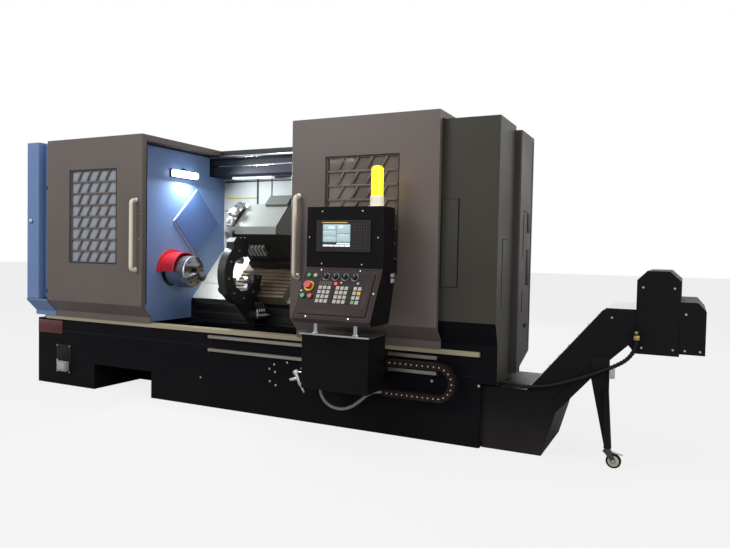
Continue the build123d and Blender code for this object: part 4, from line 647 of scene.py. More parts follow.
# %% Door trims
DOORS = {"left_door": (260, 1342, 1280, 1), "right_door": (2719, 3789, 2781, -1)}
WINDOW_WIDTH, WINDOW_LOW, WINDOW_HIGH = 524, 1076, 1831
TRIM, DOOR_FRONT = 7, -115
FEET_Z, HANDLE_SCREWS_Z, HANDLE_SCREWS_ASIDE = (1030, 1576), (1270, 1470), 34
SEAL_WIDTH, SEAL_FRONT, SEAL_BACK, SEAL_LOW, SEAL_HIGH = 9, -69.8, -58, 760, 2045
for door, (x0, x1, handle_x, side) in DOORS.items():
    left = (x0 + x1 - WINDOW_WIDTH) / 2
    right = left + WINDOW_WIDTH
    low, high = WINDOW_LOW - TRIM, WINDOW_HIGH + TRIM
    trims = ((left - TRIM, left, low, high), (right, right + TRIM, low, high),
             (left, right, low, WINDOW_LOW), (left, right, WINDOW_HIGH, high))
    blocks(door + "_window_trim", display_plastic, door, "door_grey",
           *[((a, DOOR_FRONT - 2, c), (b, DOOR_FRONT, d), 0.8) for a, b, c, d in trims])
    bm = bmesh.new()
    for z in FEET_Z:
        bar(bm, at(handle_x, DOOR_FRONT, z), FRONT, 21, 5, edge=1.5)
    for z in HANDLE_SCREWS_Z:
        socket_screw(bm, at(handle_x + side * HANDLE_SCREWS_ASIDE, DOOR_FRONT, z), FRONT, 8, 6)
    new_piece(door + "_handle_feet", bm, zinc_steel, door)
    meeting_x = x1 if side > 0 else x0
    seal_x = sorted((meeting_x, meeting_x - side * SEAL_WIDTH))
    blocks(door + "_seal", rubber, door, "belt_rubber",
           ((seal_x[0], SEAL_FRONT, SEAL_LOW), (seal_x[1], SEAL_BACK, SEAL_HIGH), 2))

# %% [markdown]
# A steel grille guards each window: thin bars between eight rows of slanted panes. A slanted bar is a cube that a
# shear matrix leans over before its edges are rounded, so one helper makes straight and slanted bars alike.

# %% Door grilles
GRILLE_ROWS, GRILLE_COLUMNS, GRILLE_BAR, GRILLE_LEAN = 8, 5, 15, 0.56
GRILLE_FRONT, GRILLE_BACK = -109, -101
lean = Matrix.Identity(4)
lean[0][2] = GRILLE_LEAN
row_pitch = (WINDOW_HIGH - WINDOW_LOW) / GRILLE_ROWS
column_pitch = WINDOW_WIDTH / GRILLE_COLUMNS
for door, (x0, x1, handle_x, side) in DOORS.items():
    left = (x0 + x1 - WINDOW_WIDTH) / 2
    right = left + WINDOW_WIDTH
    bm = bmesh.new()
    for x in (left, right - GRILLE_BAR / 2):
        slab(bm, (x, GRILLE_FRONT, WINDOW_LOW), (x + GRILLE_BAR / 2, GRILLE_BACK, WINDOW_HIGH), 0)
    for row in range(GRILLE_ROWS + 1):
        middle_z = WINDOW_LOW + row * row_pitch
        low_z, high_z = max(middle_z - GRILLE_BAR / 2, WINDOW_LOW), min(middle_z + GRILLE_BAR / 2, WINDOW_HIGH)
        slab(bm, (left, GRILLE_FRONT, low_z), (right, GRILLE_BACK, high_z), 1)
    for row in range(GRILLE_ROWS):
        low_z = WINDOW_LOW + row * row_pitch + GRILLE_BAR / 3
        high_z = low_z + row_pitch - GRILLE_BAR * 2 / 3
        for column in range(1, GRILLE_COLUMNS):
            x = left + column * column_pitch - GRILLE_BAR / 2
            slab(bm, (x, GRILLE_FRONT, low_z), (x + GRILLE_BAR, GRILLE_BACK, high_z), 1, lean)
    grille = new_piece(door + "_bars", bm, door_coat, door)
    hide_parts(door + "_grille")

# %% [markdown]
# The narrow service door at the left end has a round key latch, and the groove beside it has two spring catches. Two
# white bars along the two front edges of the bulkhead's raised plate are a painted highlight, light that catches
# those edges.

# %% Left end details
LATCH_X, LATCH_Z = 64, 1418
bm = bmesh.new()
bar(bm, at(LATCH_X, -124, LATCH_Z), FRONT, 19, 4, segments=32, edge=1.2)
bar(bm, at(LATCH_X, -128, LATCH_Z), FRONT, 10, 3, segments=24, edge=0.8)
slab(bm, (LATCH_X - 2, -133, LATCH_Z - 10), (LATCH_X + 2, -130.5, LATCH_Z + 10), 0.4)
new_piece("service_door_latch_ring", bm, rail_chrome, "service_door")
GROOVE_FAIRING = ((20, -50, 2045), (257, -42, 2091), 2)
GROOVE_CATCHES = [((180, -62, z), (204, -50, z + 34), 4) for z in (800, 1690)]
blocks("groove_top_fairing", blue_coat, "machine", "cover_blue", GROOVE_FAIRING)
blocks("groove_catches", black_plastic, "machine", "chain_black", *GROOVE_CATCHES)

# %% Painted edge highlight on the bulkhead plate, and work lamp frame
PLATE_CENTER, PLATE_HALF = Vector((BULKHEAD_FACE, 627, 1440)), 205
diagonal = Vector((0, 1, 1)).normalized()
across = Vector((0, -1, 1)).normalized()
# White bars along the plate's two front edges: a painted highlight where light catches them, not a part.
bm = bmesh.new()
for way, offset in ((diagonal, across), (across, -diagonal)):
    start = PLATE_CENTER + offset * (PLATE_HALF + 1) - way * PLATE_HALF
    bar(bm, at(*start), way, 3.5, 2 * PLATE_HALF, segments=8)
new_piece("bulkhead_plate_painted_edge_highlight", bm, white_enamel_and_highlight, "machine")
LAMP_FRAME = ((BULKHEAD_FACE, 286, 1806), (BULKHEAD_FACE + 12, 594, 1874), 3)
LAMP_ARM = ((BULKHEAD_FACE, 430, 1874), (BULKHEAD_FACE + 30, 450, 1890), 3)
blocks("work_lamp_frame", black_plastic, "machine", "chain_black", LAMP_FRAME, LAMP_ARM)

# %% [markdown]
# The chuck's jaws are held by two big socket screws each, and its face has mounting screws between the jaws. A jaw
# and its screws slide together, so each jaw's screws ride on that jaw.

# %% Chuck screws
JAW_SCREWS = ((CHUCK_X + 30, 112), (CHUCK_X + 50, 88))
FACE_SCREW_RADIUS, FACE_SCREW_SPREAD = 96, 0.42


def about_spindle(x, angle, radius):
    """Place in the model's frame at an angle and a radius about the spindle."""
    return at(x, SPINDLE_Y - sin(angle) * radius, SPINDLE_Z + cos(angle) * radius)


for index in range(3):
    bm = bmesh.new()
    for x, radius in JAW_SCREWS:
        socket_screw(bm, about_spindle(x, index * 2 * pi / 3, radius), RIGHT, 8, 4)
    new_piece(f"jaw_{index + 1}_screws", bm, dark_steel, f"jaw_{index + 1}")
bm = bmesh.new()
for index in range(3):
    for spread in (-FACE_SCREW_SPREAD, FACE_SCREW_SPREAD):
        angle = index * 2 * pi / 3 + pi / 3 + spread
        socket_screw(bm, about_spindle(CHUCK_X, angle, FACE_SCREW_RADIUS), RIGHT, 9, 3)
new_piece("chuck_face_screws", bm, dark_steel, "spindle")

# %% [markdown]
# Telescopic way covers end in a yellow polyurethane wiper, and a faded line runs along the left one. The covers lie on
# the slope, so one tilted frame lays their pieces out: along the machine, up the slope and out of it.

# %% Way cover wipers
SLOPE_UP, SLOPE_OUT = Vector((0, HALF_ROOT, HALF_ROOT)), Vector((0, -HALF_ROOT, HALF_ROOT))
SLOPE_FOOT = Vector((0, SLOPE_Y, SLOPE_Z))
SLOPE_TILT = (SLOPE_FOOT, (RIGHT, SLOPE_UP, SLOPE_OUT))
COVER_LENGTH, WIPER_WIDTH, WIPER_RISE = 560, 8, 1.6
WIPERS = {
    "way_cover_left_fixed": (1650, 0, "machine", -1),
    "way_cover_left_middle": (1670, 8, "left_cover_middle", -1),
    "way_cover_right_fixed": (2890, 0, "machine", 1),
}
for cover, (edge_x, depth, body, side) in WIPERS.items():
    bm = bmesh.new()
    x = sorted((edge_x, edge_x + side * WIPER_WIDTH))
    tilted_slab(bm, SLOPE_TILT, (x[0], 0, -depth), (x[1], COVER_LENGTH, WIPER_RISE - depth), 0.5)
    new_piece(cover + "_wiper", bm, yellow_gloss, body)
LINE_LOW, LINE_HIGH = (1262, 165, 0), (1640, 173, 1)
bm = bmesh.new()
tilted_slab(bm, SLOPE_TILT, LINE_LOW, LINE_HIGH, 0.3)
new_piece("left_cover_line", bm, faded_yellow, "machine")

# %% [markdown]
# The turret housing has a pale plate on its right side. It starts as a block that lies along the slope, and one cut
# with a level plane gives it a straight lower edge.

# %% Turret side plate
HOUSING_RIGHT, SIDE_PLATE_LEVEL = 2180, 1335
SIDE_PLATE_LOW, SIDE_PLATE_HIGH = (HOUSING_RIGHT, 345, 150), (HOUSING_RIGHT + 3, 690, 490)
bm = bmesh.new()
tilted_slab(bm, SLOPE_TILT, SIDE_PLATE_LOW, SIDE_PLATE_HIGH, 0)
cut = bmesh.ops.bisect_plane(
    bm, geom=bm.verts[:] + bm.edges[:] + bm.faces[:], plane_co=at(HOUSING_RIGHT, 0, SIDE_PLATE_LEVEL), plane_no=UP,
    clear_inner=True)
bmesh.ops.contextual_create(bm, geom=[item for item in cut["geom_cut"] if isinstance(item, bmesh.types.BMEdge)])
new_piece("turret_side_cover", bm, turret_coat, "cross_slide")

# %% [markdown]
# Flat screws hold the covers' sheets to their frames, one row near the foot of the slope and one near its top.

# %% Way cover screws
COVER_SCREWS_X, COVER_SCREWS_S = (1290, 1400, 1510, 1620, 2960, 3120, 3260, 3400, 3540, 3660), (20, 540)
bm = bmesh.new()
for x in COVER_SCREWS_X:
    for s in COVER_SCREWS_S:
        socket_screw(bm, at(*(SLOPE_FOOT + RIGHT * x + SLOPE_UP * s)), SLOPE_OUT, 7, 2.5)
new_piece("way_cover_screws", bm, zinc_steel, "machine")

# %% [markdown]
# A turret disc carries a holder on each flat. Clamp screws and a coolant nozzle on every holder, and a hub cap with a
# ring of screws, make it read as a real tool disc. All of them turn with the disc.

# %% Turret details
DISC_X0, HUB_RISE, HUB_RADIUS, HUB_SCREW_RADIUS, NOZZLE_RADIUS = 1675, 12, 84, 62, 150
HOLDER_RISE, CLAMPS_ALONG, CLAMPS_ASIDE = 40, (17, 71), (-20, 20)
FLAT_RADIUS = TURRET_RADIUS * cos(radians(15))
disc_center = Vector((DISC_X0, TURRET_Y, TURRET_Z))
bm = bmesh.new()
for index in range(12):
    angle = (index + 0.5) * pi / 6
    outward = Vector((0, -sin(angle), cos(angle)))
    aside = Vector((0, cos(angle), sin(angle)))
    for along in CLAMPS_ALONG:
        for offset in CLAMPS_ASIDE:
            spot = disc_center + RIGHT * along + outward * (FLAT_RADIUS + HOLDER_RISE) + aside * offset
            socket_screw(bm, at(*spot), outward, 6, 4)
    bar(bm, at(*(disc_center + outward * NOZZLE_RADIUS)), -RIGHT, 9, 8, tip=6, segments=10)
    socket_screw(bm, at(*(disc_center - RIGHT * HUB_RISE + outward * HUB_SCREW_RADIUS)), -RIGHT, 6, 4)
new_piece("turret_screws", bm, silver_block, "turret")
bm = bmesh.new()
bar(bm, at(*disc_center), -RIGHT, HUB_RADIUS, HUB_RISE, segments=48, edge=3)
bar(bm, at(*(disc_center - RIGHT * HUB_RISE)), -RIGHT, 30, 8, segments=32, edge=2)
new_piece("turret_hub_cap", bm, turret_coat, "turret")

# %% [markdown]
# The steady rest's bright block is its hydraulic cylinder. It has a lid held by four screws, and a ring of screws runs
# round the frame. At the foot stands a distributor with a row of pipe unions, made of a block, hexagon nuts and short
# pipes.

# %% Steady rest details
STEADY_FACE, STEADY_SCREW_RADIUS = 2000, 195
LID_TOP, LID_SCREWS_X, LID_SCREWS_Y = 1298, (1945, 1985), (238, 352)
BLOCK_LOW, BLOCK_HIGH, BLOCK_DEPTH, UNION_Y, UNION_PITCH, UNION_Z = 640, 700, 40, 486, 32, 668
bm = bmesh.new()
for y in LID_SCREWS_Y:
    for x in LID_SCREWS_X:
        socket_screw(bm, at(x, y, LID_TOP), UP, 8, 6)
for turn_angle in range(100, 341, 40):
    socket_screw(bm, about_spindle(STEADY_FACE, -radians(turn_angle), STEADY_SCREW_RADIUS), RIGHT, 9, 6)
new_piece("steady_screws", bm, silver_block, "steady")
bm = bmesh.new()
slab(bm, (STEADY_FACE, 470, BLOCK_LOW), (STEADY_FACE + BLOCK_DEPTH, 600, BLOCK_HIGH), 4)
for index in range(4):
    y = UNION_Y + index * UNION_PITCH
    bar(bm, at(STEADY_FACE + BLOCK_DEPTH / 2, y, BLOCK_HIGH), UP, 12, 16, segments=6)
    bar(bm, at(STEADY_FACE + BLOCK_DEPTH / 2, y, BLOCK_HIGH + 16), Vector((0, -0.35, 1)), 6, 64, edge=1)
    bar(bm, at(STEADY_FACE + BLOCK_DEPTH, y, UNION_Z), RIGHT, 11, 14, segments=6)
    bar(bm, at(STEADY_FACE + BLOCK_DEPTH + 14, y, UNION_Z), RIGHT, 6, 26, edge=1)
new_piece("steady_oil_distributor", bm, silver_block, "steady")

# %% [markdown]
# Behind the bed, the rear wall is made of pale panels with black joints and a faded marker strip, and a bright upper
# guide runs along the beam. They are thin strips on the wall's and the beam's front faces.

# %% Rear wall and beam trims
WALL_LEFT, WALL_RIGHT, WALL_FACE = 1262, 3690, 1015
UPRIGHT_JOINTS = ((1622, 18), *[(x, 10) for x in (1780, 2060, 2400, 2740, 3080, 3420)])
LEVEL_JOINTS = ((1828, 1840), (1560, 1568))
WALL_MARKER = ((1275, WALL_FACE - 6, 1677), (1622, WALL_FACE, 1690), 0.8)
DOOR_GUIDES = ((WALL_LEFT, 788, 2024), (2700, 800, 2042), 2), ((WALL_LEFT, 838, 1950), (WALL_RIGHT, 845, 1962), 1)
LIGHT_STRIP = ((1420, 905, 1846), (1850, 965, 1862), 4)
blocks("rear_wall_joints", display_plastic, "machine", "rear_dark",
       *[((x, WALL_FACE - 3, 1240), (x + width, WALL_FACE, 1862), 0.6) for x, width in UPRIGHT_JOINTS],
       *[((WALL_LEFT, WALL_FACE - 4, z0), (WALL_RIGHT, WALL_FACE, z1), 0.6) for z0, z1 in LEVEL_JOINTS])
blocks("rear_wall_marker", faded_yellow, "machine", "beacon_yellow", WALL_MARKER)
blocks("upper_door_guide", rail_chrome, "machine", "rail_chrome", *DOOR_GUIDES)
blocks("rear_light_strip", screen_white, "machine", "lamp_lens", LIGHT_STRIP)

# %% [markdown]
# Nobody looks at the back of a machine until it has to be serviced. Its sheet is pressed into ribs with screws down
# each one, and the base has bolted access plates, cable inlets and a drain plug. All of it stays within the machine's
# depth.

# %% Back of the machine
BACK = Vector((0, 1, 0))
RIB_COUNT, RIB_FACE, BASE_BACK = 7, 1075, 1060
RIB_PITCH = 3740 / RIB_COUNT
RIB_SCREW_LOW, RIB_SCREW_PITCH, RIB_SCREWS = 680, 215, 6
ACCESS_PLATES, PLATE_WIDTH, PLATE_RISE, PLATE_LOW, PLATE_HIGH, PLATE_MARGIN = (420, 1500, 2580), 700, 6, 120, 460, 24
INLETS_X, INLETS_Z = (3520, 3580, 3640), 330
bm = bmesh.new()
for index in range(RIB_COUNT):
    for row in range(RIB_SCREWS):
        spot = at((index + 0.5) * RIB_PITCH, RIB_FACE, RIB_SCREW_LOW + RIB_SCREW_PITCH * row)
        socket_screw(bm, spot, BACK, 8, 3.5)
for x in ACCESS_PLATES:
    for corner_x in (x + PLATE_MARGIN, x + PLATE_WIDTH - PLATE_MARGIN):
        for z in (PLATE_LOW + PLATE_MARGIN, PLATE_HIGH - PLATE_MARGIN):
            socket_screw(bm, at(corner_x, BASE_BACK + PLATE_RISE, z), BACK, 9, 6)
bar(bm, at(3620, BASE_BACK, 110), BACK, 24, 14, segments=6, edge=2)
new_piece("back_screws", bm, zinc_steel, "machine")
blocks("back_access_plates", beam_coat, "machine", "rear_dark",
       *[((x, BASE_BACK, PLATE_LOW), (x + PLATE_WIDTH, BASE_BACK + PLATE_RISE, PLATE_HIGH), 2) for x in ACCESS_PLATES])
bm = bmesh.new()
for x in INLETS_X:
    bar(bm, at(x, BASE_BACK, INLETS_Z), BACK, 21, 8, segments=6, edge=1.5)
    bar(bm, at(x, BASE_BACK + 8, INLETS_Z), BACK, 16, 9, edge=1.5)
new_piece("cable_inlets", bm, black_plastic, "machine")

# %% [markdown]
# Machine cabinets show their doors as fine joints, with cover plates and a latch. The joints are thin dark strips set
# on the face, and the latch is a small plate with a round key.

# %% Cabinet and right cover joints
CABINET_FACE, COVER_SIDE, COVER_FRONT = 4188, 4150, -50
CABINET_JOINTS = ((452, 456, 1190, 1480), (452, 456, 820, 960), (430, 560, 1496, 1500), (676, 680, 600, 1990))
SIDE_JOINTS = ((60, 160, 1300, 1304), (60, 64, 880, 1300))
FRONT_JOINTS = ((3795, 3903, 997, 1003), (3795, 3903, 1542, 1548), (3898, 3904, 997, 1548))
CABINET_PLATES = ((1360, 1492), (1000, 1246))
blocks("cover_joints", rubber, "machine", "belt_rubber",
       *[((CABINET_FACE, y0, z0), (CABINET_FACE + 2, y1, z1), 0.4) for y0, y1, z0, z1 in CABINET_JOINTS],
       *[((COVER_SIDE, y0, z0), (COVER_SIDE + 2, y1, z1), 0.4) for y0, y1, z0, z1 in SIDE_JOINTS],
       *[((x0, COVER_FRONT - 2.5, z0), (x1, COVER_FRONT, z1), 0.4) for x0, x1, z0, z1 in FRONT_JOINTS])
bm = bmesh.new()
for z0, z1 in CABINET_PLATES:
    slab(bm, (CABINET_FACE, 560, z0), (CABINET_FACE + 3, 640, z1), 1)
slab(bm, (CABINET_FACE, 540, 712), (CABINET_FACE + 5, 600, 742), 2)
bar(bm, at(CABINET_FACE + 5, 570, 727), RIGHT, 9, 4, edge=1)
new_piece("cabinet_plates_and_latch", bm, black_plastic, "machine")

# %% [markdown]
# The display shows a generic picture: a pale field with a darker heading, a few rows, a dark bar and a row of soft
# keys. Thin tiles inside the recess carry it, so it stays sharp in every view.

# %% Screen tiles
SCREEN_FACE, LOW_TILE, HIGH_TILE = -408, 0.6, 1.2
SCREEN = {
    "screen_field": (screen_mid, LOW_TILE, [(3142, 3336, 1264, 1374)]),
    "screen_rows": (screen_pale, HIGH_TILE, [
        (3146, 3236, 1340, 1371), (3146, 3236, 1304, 1335), (3146, 3236, 1268, 1299), (3242, 3332, 1320, 1371),
        (3242, 3332, 1268, 1314)]),
    "screen_soft_keys": (screen_white, HIGH_TILE, [
        *[(3145 + 38.4 * i, 3179 + 38.4 * i, 1238, 1248) for i in range(5)], (3182, 3226, 1346, 1362),
        (3256, 3284, 1350, 1364), (3242, 3332, 1252, 1260)]),
    "screen_bars": (screen_dark, LOW_TILE, [(3142, 3236, 1250, 1261)]),
}
for name, (finish, rise, tiles) in SCREEN.items():
    blocks(name, finish, "pendant", "display_grey",
           *[((x0, SCREEN_FACE - rise, z0), (x1, SCREEN_FACE, z1), 0.2) for x0, x1, z0, z1 in tiles])
AMBER_STRIP = ((3139, -413.2, 1381), (3317, -412, 1387), 0.3)
blocks("display_amber_strip", screen_amber, "pendant", "display_grey", AMBER_STRIP)

# %% [markdown]
# On the console, plates along the margins and a thin border frame the panel, and small screws hold the face plates.
# They lie in the console's own tilted frame.

# %% Console plates and screws
CONSOLE_TILT = (CONSOLE_CORNER, (RIGHT, -CONSOLE_DOWN, CONSOLE_OUT))
MARGIN_PLATES = ((36, 496, 262, 318), (448, 496, 40, 262))
BORDER_STRIPS = ((14, 518, 10, 12), (14, 518, 338, 340), (14, 16, 12, 338), (516, 518, 12, 338))
BOX_SCREWS = ((3134, 1455), (3413, 1455), (3043, 1294), (3519, 1294), (3134, 1131), (3413, 1131))
CONSOLE_SCREWS = ((120, 18), (390, 18), (18, 165), (514, 165), (100, 334), (390, 334))
bm = bmesh.new()
for u0, u1, v0, v1 in MARGIN_PLATES:
    tilted_slab(bm, CONSOLE_TILT, (u0, -v1, PANEL_RISE), (u1, -v0, PANEL_RISE + 1.5), 0.5)
new_piece("panel_margin_plates", bm, console_coat, "pendant")
bm = bmesh.new()
for u0, u1, v0, v1 in BORDER_STRIPS:
    tilted_slab(bm, CONSOLE_TILT, (u0, -v1, 0), (u1, -v0, 0.8), 0.2)
new_piece("console_border", bm, rubber, "pendant")
bm = bmesh.new()
for x, z in BOX_SCREWS:
    socket_screw(bm, at(x, BOX_FRONT, z), FRONT, 5, 3)
for u, v in CONSOLE_SCREWS:
    socket_screw(bm, on_console(u, v, 0), CONSOLE_OUT, 5, 3)
new_piece("pendant_screws", bm, zinc_steel, "pendant")

# %% [markdown]
# The knobs stand on grey dials and have white pointers, the emergency stop stands in a yellow ring, and small lamps
# glow between the key groups.

# %% Knobs and lamps
KNOB_U, KNOB_V, KNOB_HEIGHT = (170, 236, 302, 368), 66, 20
bm = bmesh.new()
for u in KNOB_U:
    for step in range(4):
        bar(bm, on_console(u, KNOB_V - step * 4, PANEL_RISE + KNOB_HEIGHT), CONSOLE_OUT, 1.6, 1, segments=8)
new_piece("knob_pointers", bm, white_enamel_and_highlight, "pendant")
bm = bmesh.new()
for u in KNOB_U:
    bar(bm, on_console(u, KNOB_V, PANEL_RISE), CONSOLE_OUT, 26, 2, segments=40, edge=0.6)
new_piece("knob_dials", bm, grey_plastic, "pendant")
LAMPS = {
    "emergency_stop_ring": (yellow_gloss, "beacon_yellow", 68, 134, 34, 3.2, 48, 1),
    "panel_red_lamp": (red_lamp, "stop_red", 250, 112, 10, 5, 24, 1.5),
    "panel_amber_lamp": (screen_amber, "beacon_yellow", 286, 104, 6, 4, 16, 1),
}
for name, (finish, slot, u, v, radius, height, segments, edge) in LAMPS.items():
    bm = bmesh.new()
    bar(bm, on_console(u, v, PANEL_RISE), CONSOLE_OUT, radius, height, segments=segments, edge=edge)
    new_piece(name, bm, finish, "pendant")
bm = bmesh.new()
for index in range(6):
    for row in range(2):
        bar(bm, on_console(140 + 15 * index, 104 + 12 * row, PANEL_RISE), CONSOLE_OUT, 3, 1.5, segments=10)
bar(bm, on_console(400, 106, PANEL_RISE), CONSOLE_OUT, 8, 5, segments=16, edge=1)
new_piece("panel_signal_lamps", bm, key_plastic, "pendant")

# %% [markdown]
# The pendant's right side has a plate with two sockets. Chrome collars close its posts, and the beacon stands on a
# flange.

# %% Pendant flanges and side sockets
COLUMN_LEFT, COLUMN_RIGHT, POST_INSET, POST_Y = 2955, 3434, 96, -318
COLLARS, BEACON_FOOT = ((682, 24), (764, 22)), (3459, -300, 1483)
SOCKET_PLATE = ((3551, -316, 1012), (3559, -238, 1090), 2)
SIDE_SOCKETS = [((3559, -300, z0), (3565, -254, z1), 2) for z0, z1 in ((1056, 1078), (1022, 1048))]
blocks("side_socket_plate", black_plastic, "pendant", "chain_black", SOCKET_PLATE)
blocks("side_sockets", pale_grey_plastic, "pendant", "display_grey", *SIDE_SOCKETS)
bm = bmesh.new()
for x in (COLUMN_LEFT + POST_INSET, COLUMN_RIGHT - POST_INSET):
    for z, radius in COLLARS:
        bar(bm, at(x, POST_Y, z), UP, radius, 8, segments=32, edge=1.5)
new_piece("post_collars", bm, rail_chrome, "pendant")
bm = bmesh.new()
# The flange takes the beacon foot's finish, with its faint painted glow.
bar(bm, at(*BEACON_FOOT), UP, 52, 6, segments=40, edge=1.5)
new_piece("beacon_flange", bm, beacon_foot_painted_glow, "pendant")

# %% [markdown]
# The cable chain runs along the base, turns through a half circle and comes back to the pendant's column. Its pins show
# as a row of bright dots, one for each link. A real chain rolls through its bend as the pendant slides. Here a copy of
# the chain and its pins ride on neither body: their places are baked into their meshes.

# %% Cable chain
CHAIN_SIDE, CHAIN_BEND_X, CHAIN_BEND_RADIUS, CHAIN_HALF = -111, 3800, 100, 22
CHAIN_MIDDLE_Z, BEND_LINKS = 400, 9
CHAIN_UPPER_Z, CHAIN_LOWER_Z = CHAIN_MIDDLE_Z + CHAIN_BEND_RADIUS, CHAIN_MIDDLE_Z - CHAIN_BEND_RADIUS
UPPER_START, UPPER_PITCH, UPPER_LINKS = 3462, 37.56, 9
LOWER_START, LOWER_PITCH, LOWER_LINKS = 3446.5, 35.35, 10
pins = [(UPPER_START + UPPER_PITCH * (i + 0.5), CHAIN_UPPER_Z) for i in range(UPPER_LINKS)]
pins += [(LOWER_START + LOWER_PITCH * (i + 0.5), CHAIN_LOWER_Z) for i in range(LOWER_LINKS)]
for index in range(BEND_LINKS):
    angle = (index + 0.5) * pi / BEND_LINKS
    pins.append((CHAIN_BEND_X + CHAIN_BEND_RADIUS * sin(angle), CHAIN_MIDDLE_Z + CHAIN_BEND_RADIUS * cos(angle)))
bm = bmesh.new()
for x, z in pins:
    bar(bm, at(x, CHAIN_SIDE, z), FRONT, 4.5, 1.6, segments=12, edge=0.5)
pin_row = new_piece("chain_pins", bm, pin_cream, None)
bm = bmesh.new()
bm.from_mesh(nodes["cable_chain"].data)
bmesh.ops.remove_doubles(bm, verts=bm.verts, dist=0.01 * MM)
links = new_piece("chain_links", bm, chain_plastic, None)
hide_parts("cable_chain")
for piece in (links, pin_row):
    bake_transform(piece)

# %% [markdown]
# A wash gun hangs from a hook on the pendant's column. It is turned from bright metal: a barrel with a nozzle, a
# grip, a trigger and a brass swivel, each a bar along its own direction.

# %% Wash gun
barrel = Vector((0.45, 0, -0.89)).normalized()
grip = Vector((-0.95, 0, -0.3)).normalized()
lever = Vector((0.85, 0, 0.5)).normalized()
nose = at(2798, -136, 364)
grip_root = nose + barrel * 0.030
bm = bmesh.new()
slab(bm, (2856, -143, 368), (2955, -129, 386), 2)
bar(bm, nose, barrel, 17, 84, edge=2.5)
bar(bm, nose + barrel * 0.084, barrel, 12, 40, tip=8, edge=1)
bar(bm, nose - barrel * 0.026, barrel, 22, 28, segments=6, edge=1.5)
bar(bm, grip_root, grip, 13, 56, edge=2)
bar(bm, nose + barrel * 0.080, lever, 6, 66, edge=2)
bar(bm, nose - barrel * 0.016, RIGHT, 6, 70, edge=1)
new_piece("wash_gun", bm, rail_chrome, "pendant")
bm = bmesh.new()
bar(bm, nose + barrel * 0.122, barrel, 9, 16, segments=6, edge=0.8)
bar(bm, grip_root + grip * 0.054, grip, 10, 16, segments=6, edge=0.8)
new_piece("wash_gun_unions", bm, brass, "pendant")

# %% [markdown]
# The conveyor's casing is folded from plate, with a flange and bolts along the top of its incline and a stiffening
# joint along its side. A black union holds the conduit at the cover and a brass one at the head.

# %% Conveyor trims
INCLINE_LOW, INCLINE_HIGH = Vector((4330, 0, 390)), Vector((4755, 0, 905))
CONVEYOR_SIDE, EDGE_STRIPS_Y = 40, ((36, 52), (648, 664))
LEG_GUSSET = ((4697, 31, 500), (4797, CONVEYOR_SIDE, 628), 1)
HEAD_JOINTS = ((4927, 4931, 1070), (5149, 5153, 960))
LEG_BOX = ((4797, 14, 512), (4826, 38, 584), 3)
incline = INCLINE_HIGH - INCLINE_LOW
incline_way = incline.normalized()
incline_out = Vector((-incline_way.z, 0, incline_way.x))
INCLINE_TILT = (INCLINE_LOW, (incline_way, BACK, incline_out))
bm = bmesh.new()
for y0, y1 in EDGE_STRIPS_Y:
    tilted_slab(bm, INCLINE_TILT, (8, y0, 0), (incline.length - 6, y1, 4), 1)
new_piece("incline_edge_strips", bm, zinc_steel, "machine")
bm = bmesh.new()
slab(bm, *LEG_GUSSET)
tilted_slab(bm, INCLINE_TILT, (60, 36, -150), (incline.length - 90, CONVEYOR_SIDE, -144), 1)
for x0, x1, top in HEAD_JOINTS:
    slab(bm, (x0, CONVEYOR_SIDE - 3, 690), (x1, CONVEYOR_SIDE, top), 0.5)
new_piece("conveyor_flanges", bm, conveyor_coat, "machine")
blocks("leg_cable_box", pale_grey_plastic, "machine", "display_grey", LEG_BOX)

# %% Conveyor screws and unions
STRIP_SCREWS, STRIP_SCREWS_Y = 8, (44, 656)
HEAD_SCREWS = ((4960, 1040), (5120, 1040), (4960, 700), (5120, 700), (5180, 700), (5255, 700), (5180, 900),
               (4800, 860))
bm = bmesh.new()
for index in range(STRIP_SCREWS):
    along = 40 + index * (incline.length - 80) / (STRIP_SCREWS - 1)
    for y in STRIP_SCREWS_Y:
        spot = INCLINE_LOW + incline_way * along + BACK * y + incline_out * 4
        socket_screw(bm, at(*spot), incline_out, 6, 4)
for x, z in HEAD_SCREWS:
    socket_screw(bm, at(x, CONVEYOR_SIDE, z), FRONT, 6, 4)
new_piece("conveyor_screws", bm, zinc_steel, "machine")
bm = bmesh.new()
bar(bm, at(*HOSE_ROUTE[0]), RIGHT, 17, 22, segments=6, edge=1.5)
new_piece("cover_union", bm, black_plastic, "machine")
bm = bmesh.new()
bar(bm, at(4935, 24, 742), UP, 17, 28, segments=6, edge=1.5)
bar(bm, at(4935, 4, 786), FRONT, 9, 8, segments=6, edge=1)
new_piece("head_union", bm, brass, "machine")

# %% [markdown]
# The caster has a dark fork with a bright brake pedal, and a rubber wheel with a pale hub. The hub caps turn with the
# wheel, and the pedal swivels with the fork.

# %% Caster details
AXLE_X, AXLE_Z = 4834, 42
bm = bmesh.new()
for y, way in ((12, FRONT), (34, BACK)):
    bar(bm, at(AXLE_X, y, AXLE_Z), way, 31, 1.2, segments=32, edge=0.5)
    bar(bm, at(AXLE_X, y, AXLE_Z), way, 10, 1.6, segments=16, edge=0.5)
new_piece("caster_hub_caps", bm, beige_tread, "caster_wheel")
bm = bmesh.new()
pedal = Matrix.Rotation(radians(12), 4, "Y")
slab(bm, (4822, 12, 84), (4884, 34, 88), 1.5, pedal)
bar(bm, at(AXLE_X, 4.5, AXLE_Z), FRONT, 9, 4, segments=6, edge=0.8)
new_piece("caster_brake_pedal", bm, zinc_steel, "caster_fork")

# %% [markdown]
# A plain pale floor carries the machine's shadow. The world is white to the camera and in reflections, and a softer
# grey lights the scene. Four large lamps give a plain studio light, and a small one stands in for the work lamp.

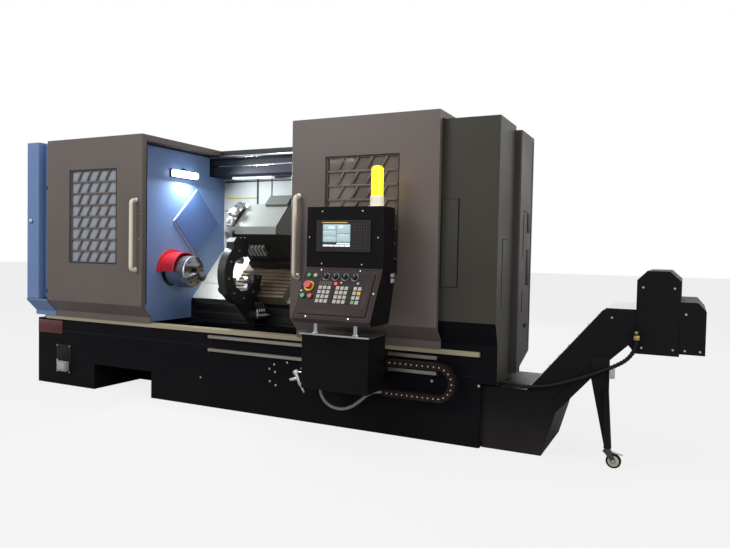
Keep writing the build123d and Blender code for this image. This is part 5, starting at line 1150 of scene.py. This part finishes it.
# %% Floor and light
FLOOR_WHITE = 0.82
bm = bmesh.new()
bmesh.ops.create_grid(bm, x_segments=1, y_segments=1, size=40)
floor_mesh = bpy.data.meshes.new("floor")
bm.to_mesh(floor_mesh)
bm.free()
floor = bpy.data.objects.new("floor", floor_mesh)
scene.collection.objects.link(floor)
floor_finish = bpy.data.materials.new("pale_studio_floor")
floor_finish.use_nodes = True
tree = floor_finish.node_tree
tree.nodes.clear()
matt = add(tree, "ShaderNodeBsdfDiffuse", inputs={"Color": (0.5, 0.5, 0.5, 1)})
bright = add(tree, "ShaderNodeEmission", inputs={"Color": (1, 1, 1, 1), "Strength": 1.0})
floor_mix = add(tree, "ShaderNodeMixShader", {1: matt.outputs[0], 2: bright.outputs[0]})
rays = add(tree, "ShaderNodeLightPath")
seen = add(tree, "ShaderNodeMath", {0: rays.outputs["Is Camera Ray"]}, {1: FLOOR_WHITE}, operation="MULTIPLY")
tree.links.new(seen.outputs[0], floor_mix.inputs[0])
add(tree, "ShaderNodeOutputMaterial", {"Surface": floor_mix.outputs[0]})
floor_mesh.materials.append(floor_finish)
print("floor", len(floor_mesh.polygons), "face")

# %% World
world = bpy.data.worlds.new("studio")
scene.world = world
world.use_nodes = True
tree = world.node_tree
tree.nodes.clear()
rays = add(tree, "ShaderNodeLightPath")
camera_or_glossy = add(tree, "ShaderNodeMath", {0: rays.outputs["Is Camera Ray"], 1: rays.outputs["Is Glossy Ray"]},
                       operation="MAXIMUM")
white_rays = add(tree, "ShaderNodeMath", {0: camera_or_glossy.outputs[0], 1: rays.outputs["Is Transmission Ray"]},
                 operation="MAXIMUM")
soft = add(tree, "ShaderNodeBackground", inputs={"Color": (0.9, 0.93, 1.0, 1), "Strength": 0.38})
white = add(tree, "ShaderNodeBackground", inputs={"Color": (1, 1, 1, 1), "Strength": 1.0})
world_mix = add(tree, "ShaderNodeMixShader", {0: white_rays.outputs[0], 1: soft.outputs[0], 2: white.outputs[0]})
add(tree, "ShaderNodeOutputWorld", {"Surface": world_mix.outputs[0]})
print("world", len(tree.nodes), "nodes")


# %% Lamps
def lamp(name, place, target, size, power, tone="#FFFFFF"):
    """Square area lamp that looks at a target."""
    data = bpy.data.lights.new(name, "AREA")
    data.size = size
    data.energy = power
    data.color = linear(tone)[:3]
    light = bpy.data.objects.new(name, data)
    light.matrix_world = Matrix.Translation(place) @ (target - place).to_track_quat("-Z", "Y").to_matrix().to_4x4()
    scene.collection.objects.link(light)


middle = Vector((-0.6, 0, 1.0))
lamp("key", Vector((-3.5, -6.0, 5.0)), middle, 3.5, 250)
lamp("fill", Vector((6.0, -4.0, 3.2)), middle, 3.0, 170)
lamp("top", Vector((0, -0.5, 6.0)), middle, 4.0, 95)
lamp("back", Vector((-1.0, 6.5, 4.0)), middle, 3.5, 150)
lamp("work_lamp_beam", at(1330, 440, 1835), at(2000, 420, 1000), 0.16, 17, "#E8F3FF")
scene.view_settings.view_transform = "Standard"
print("studio ready")
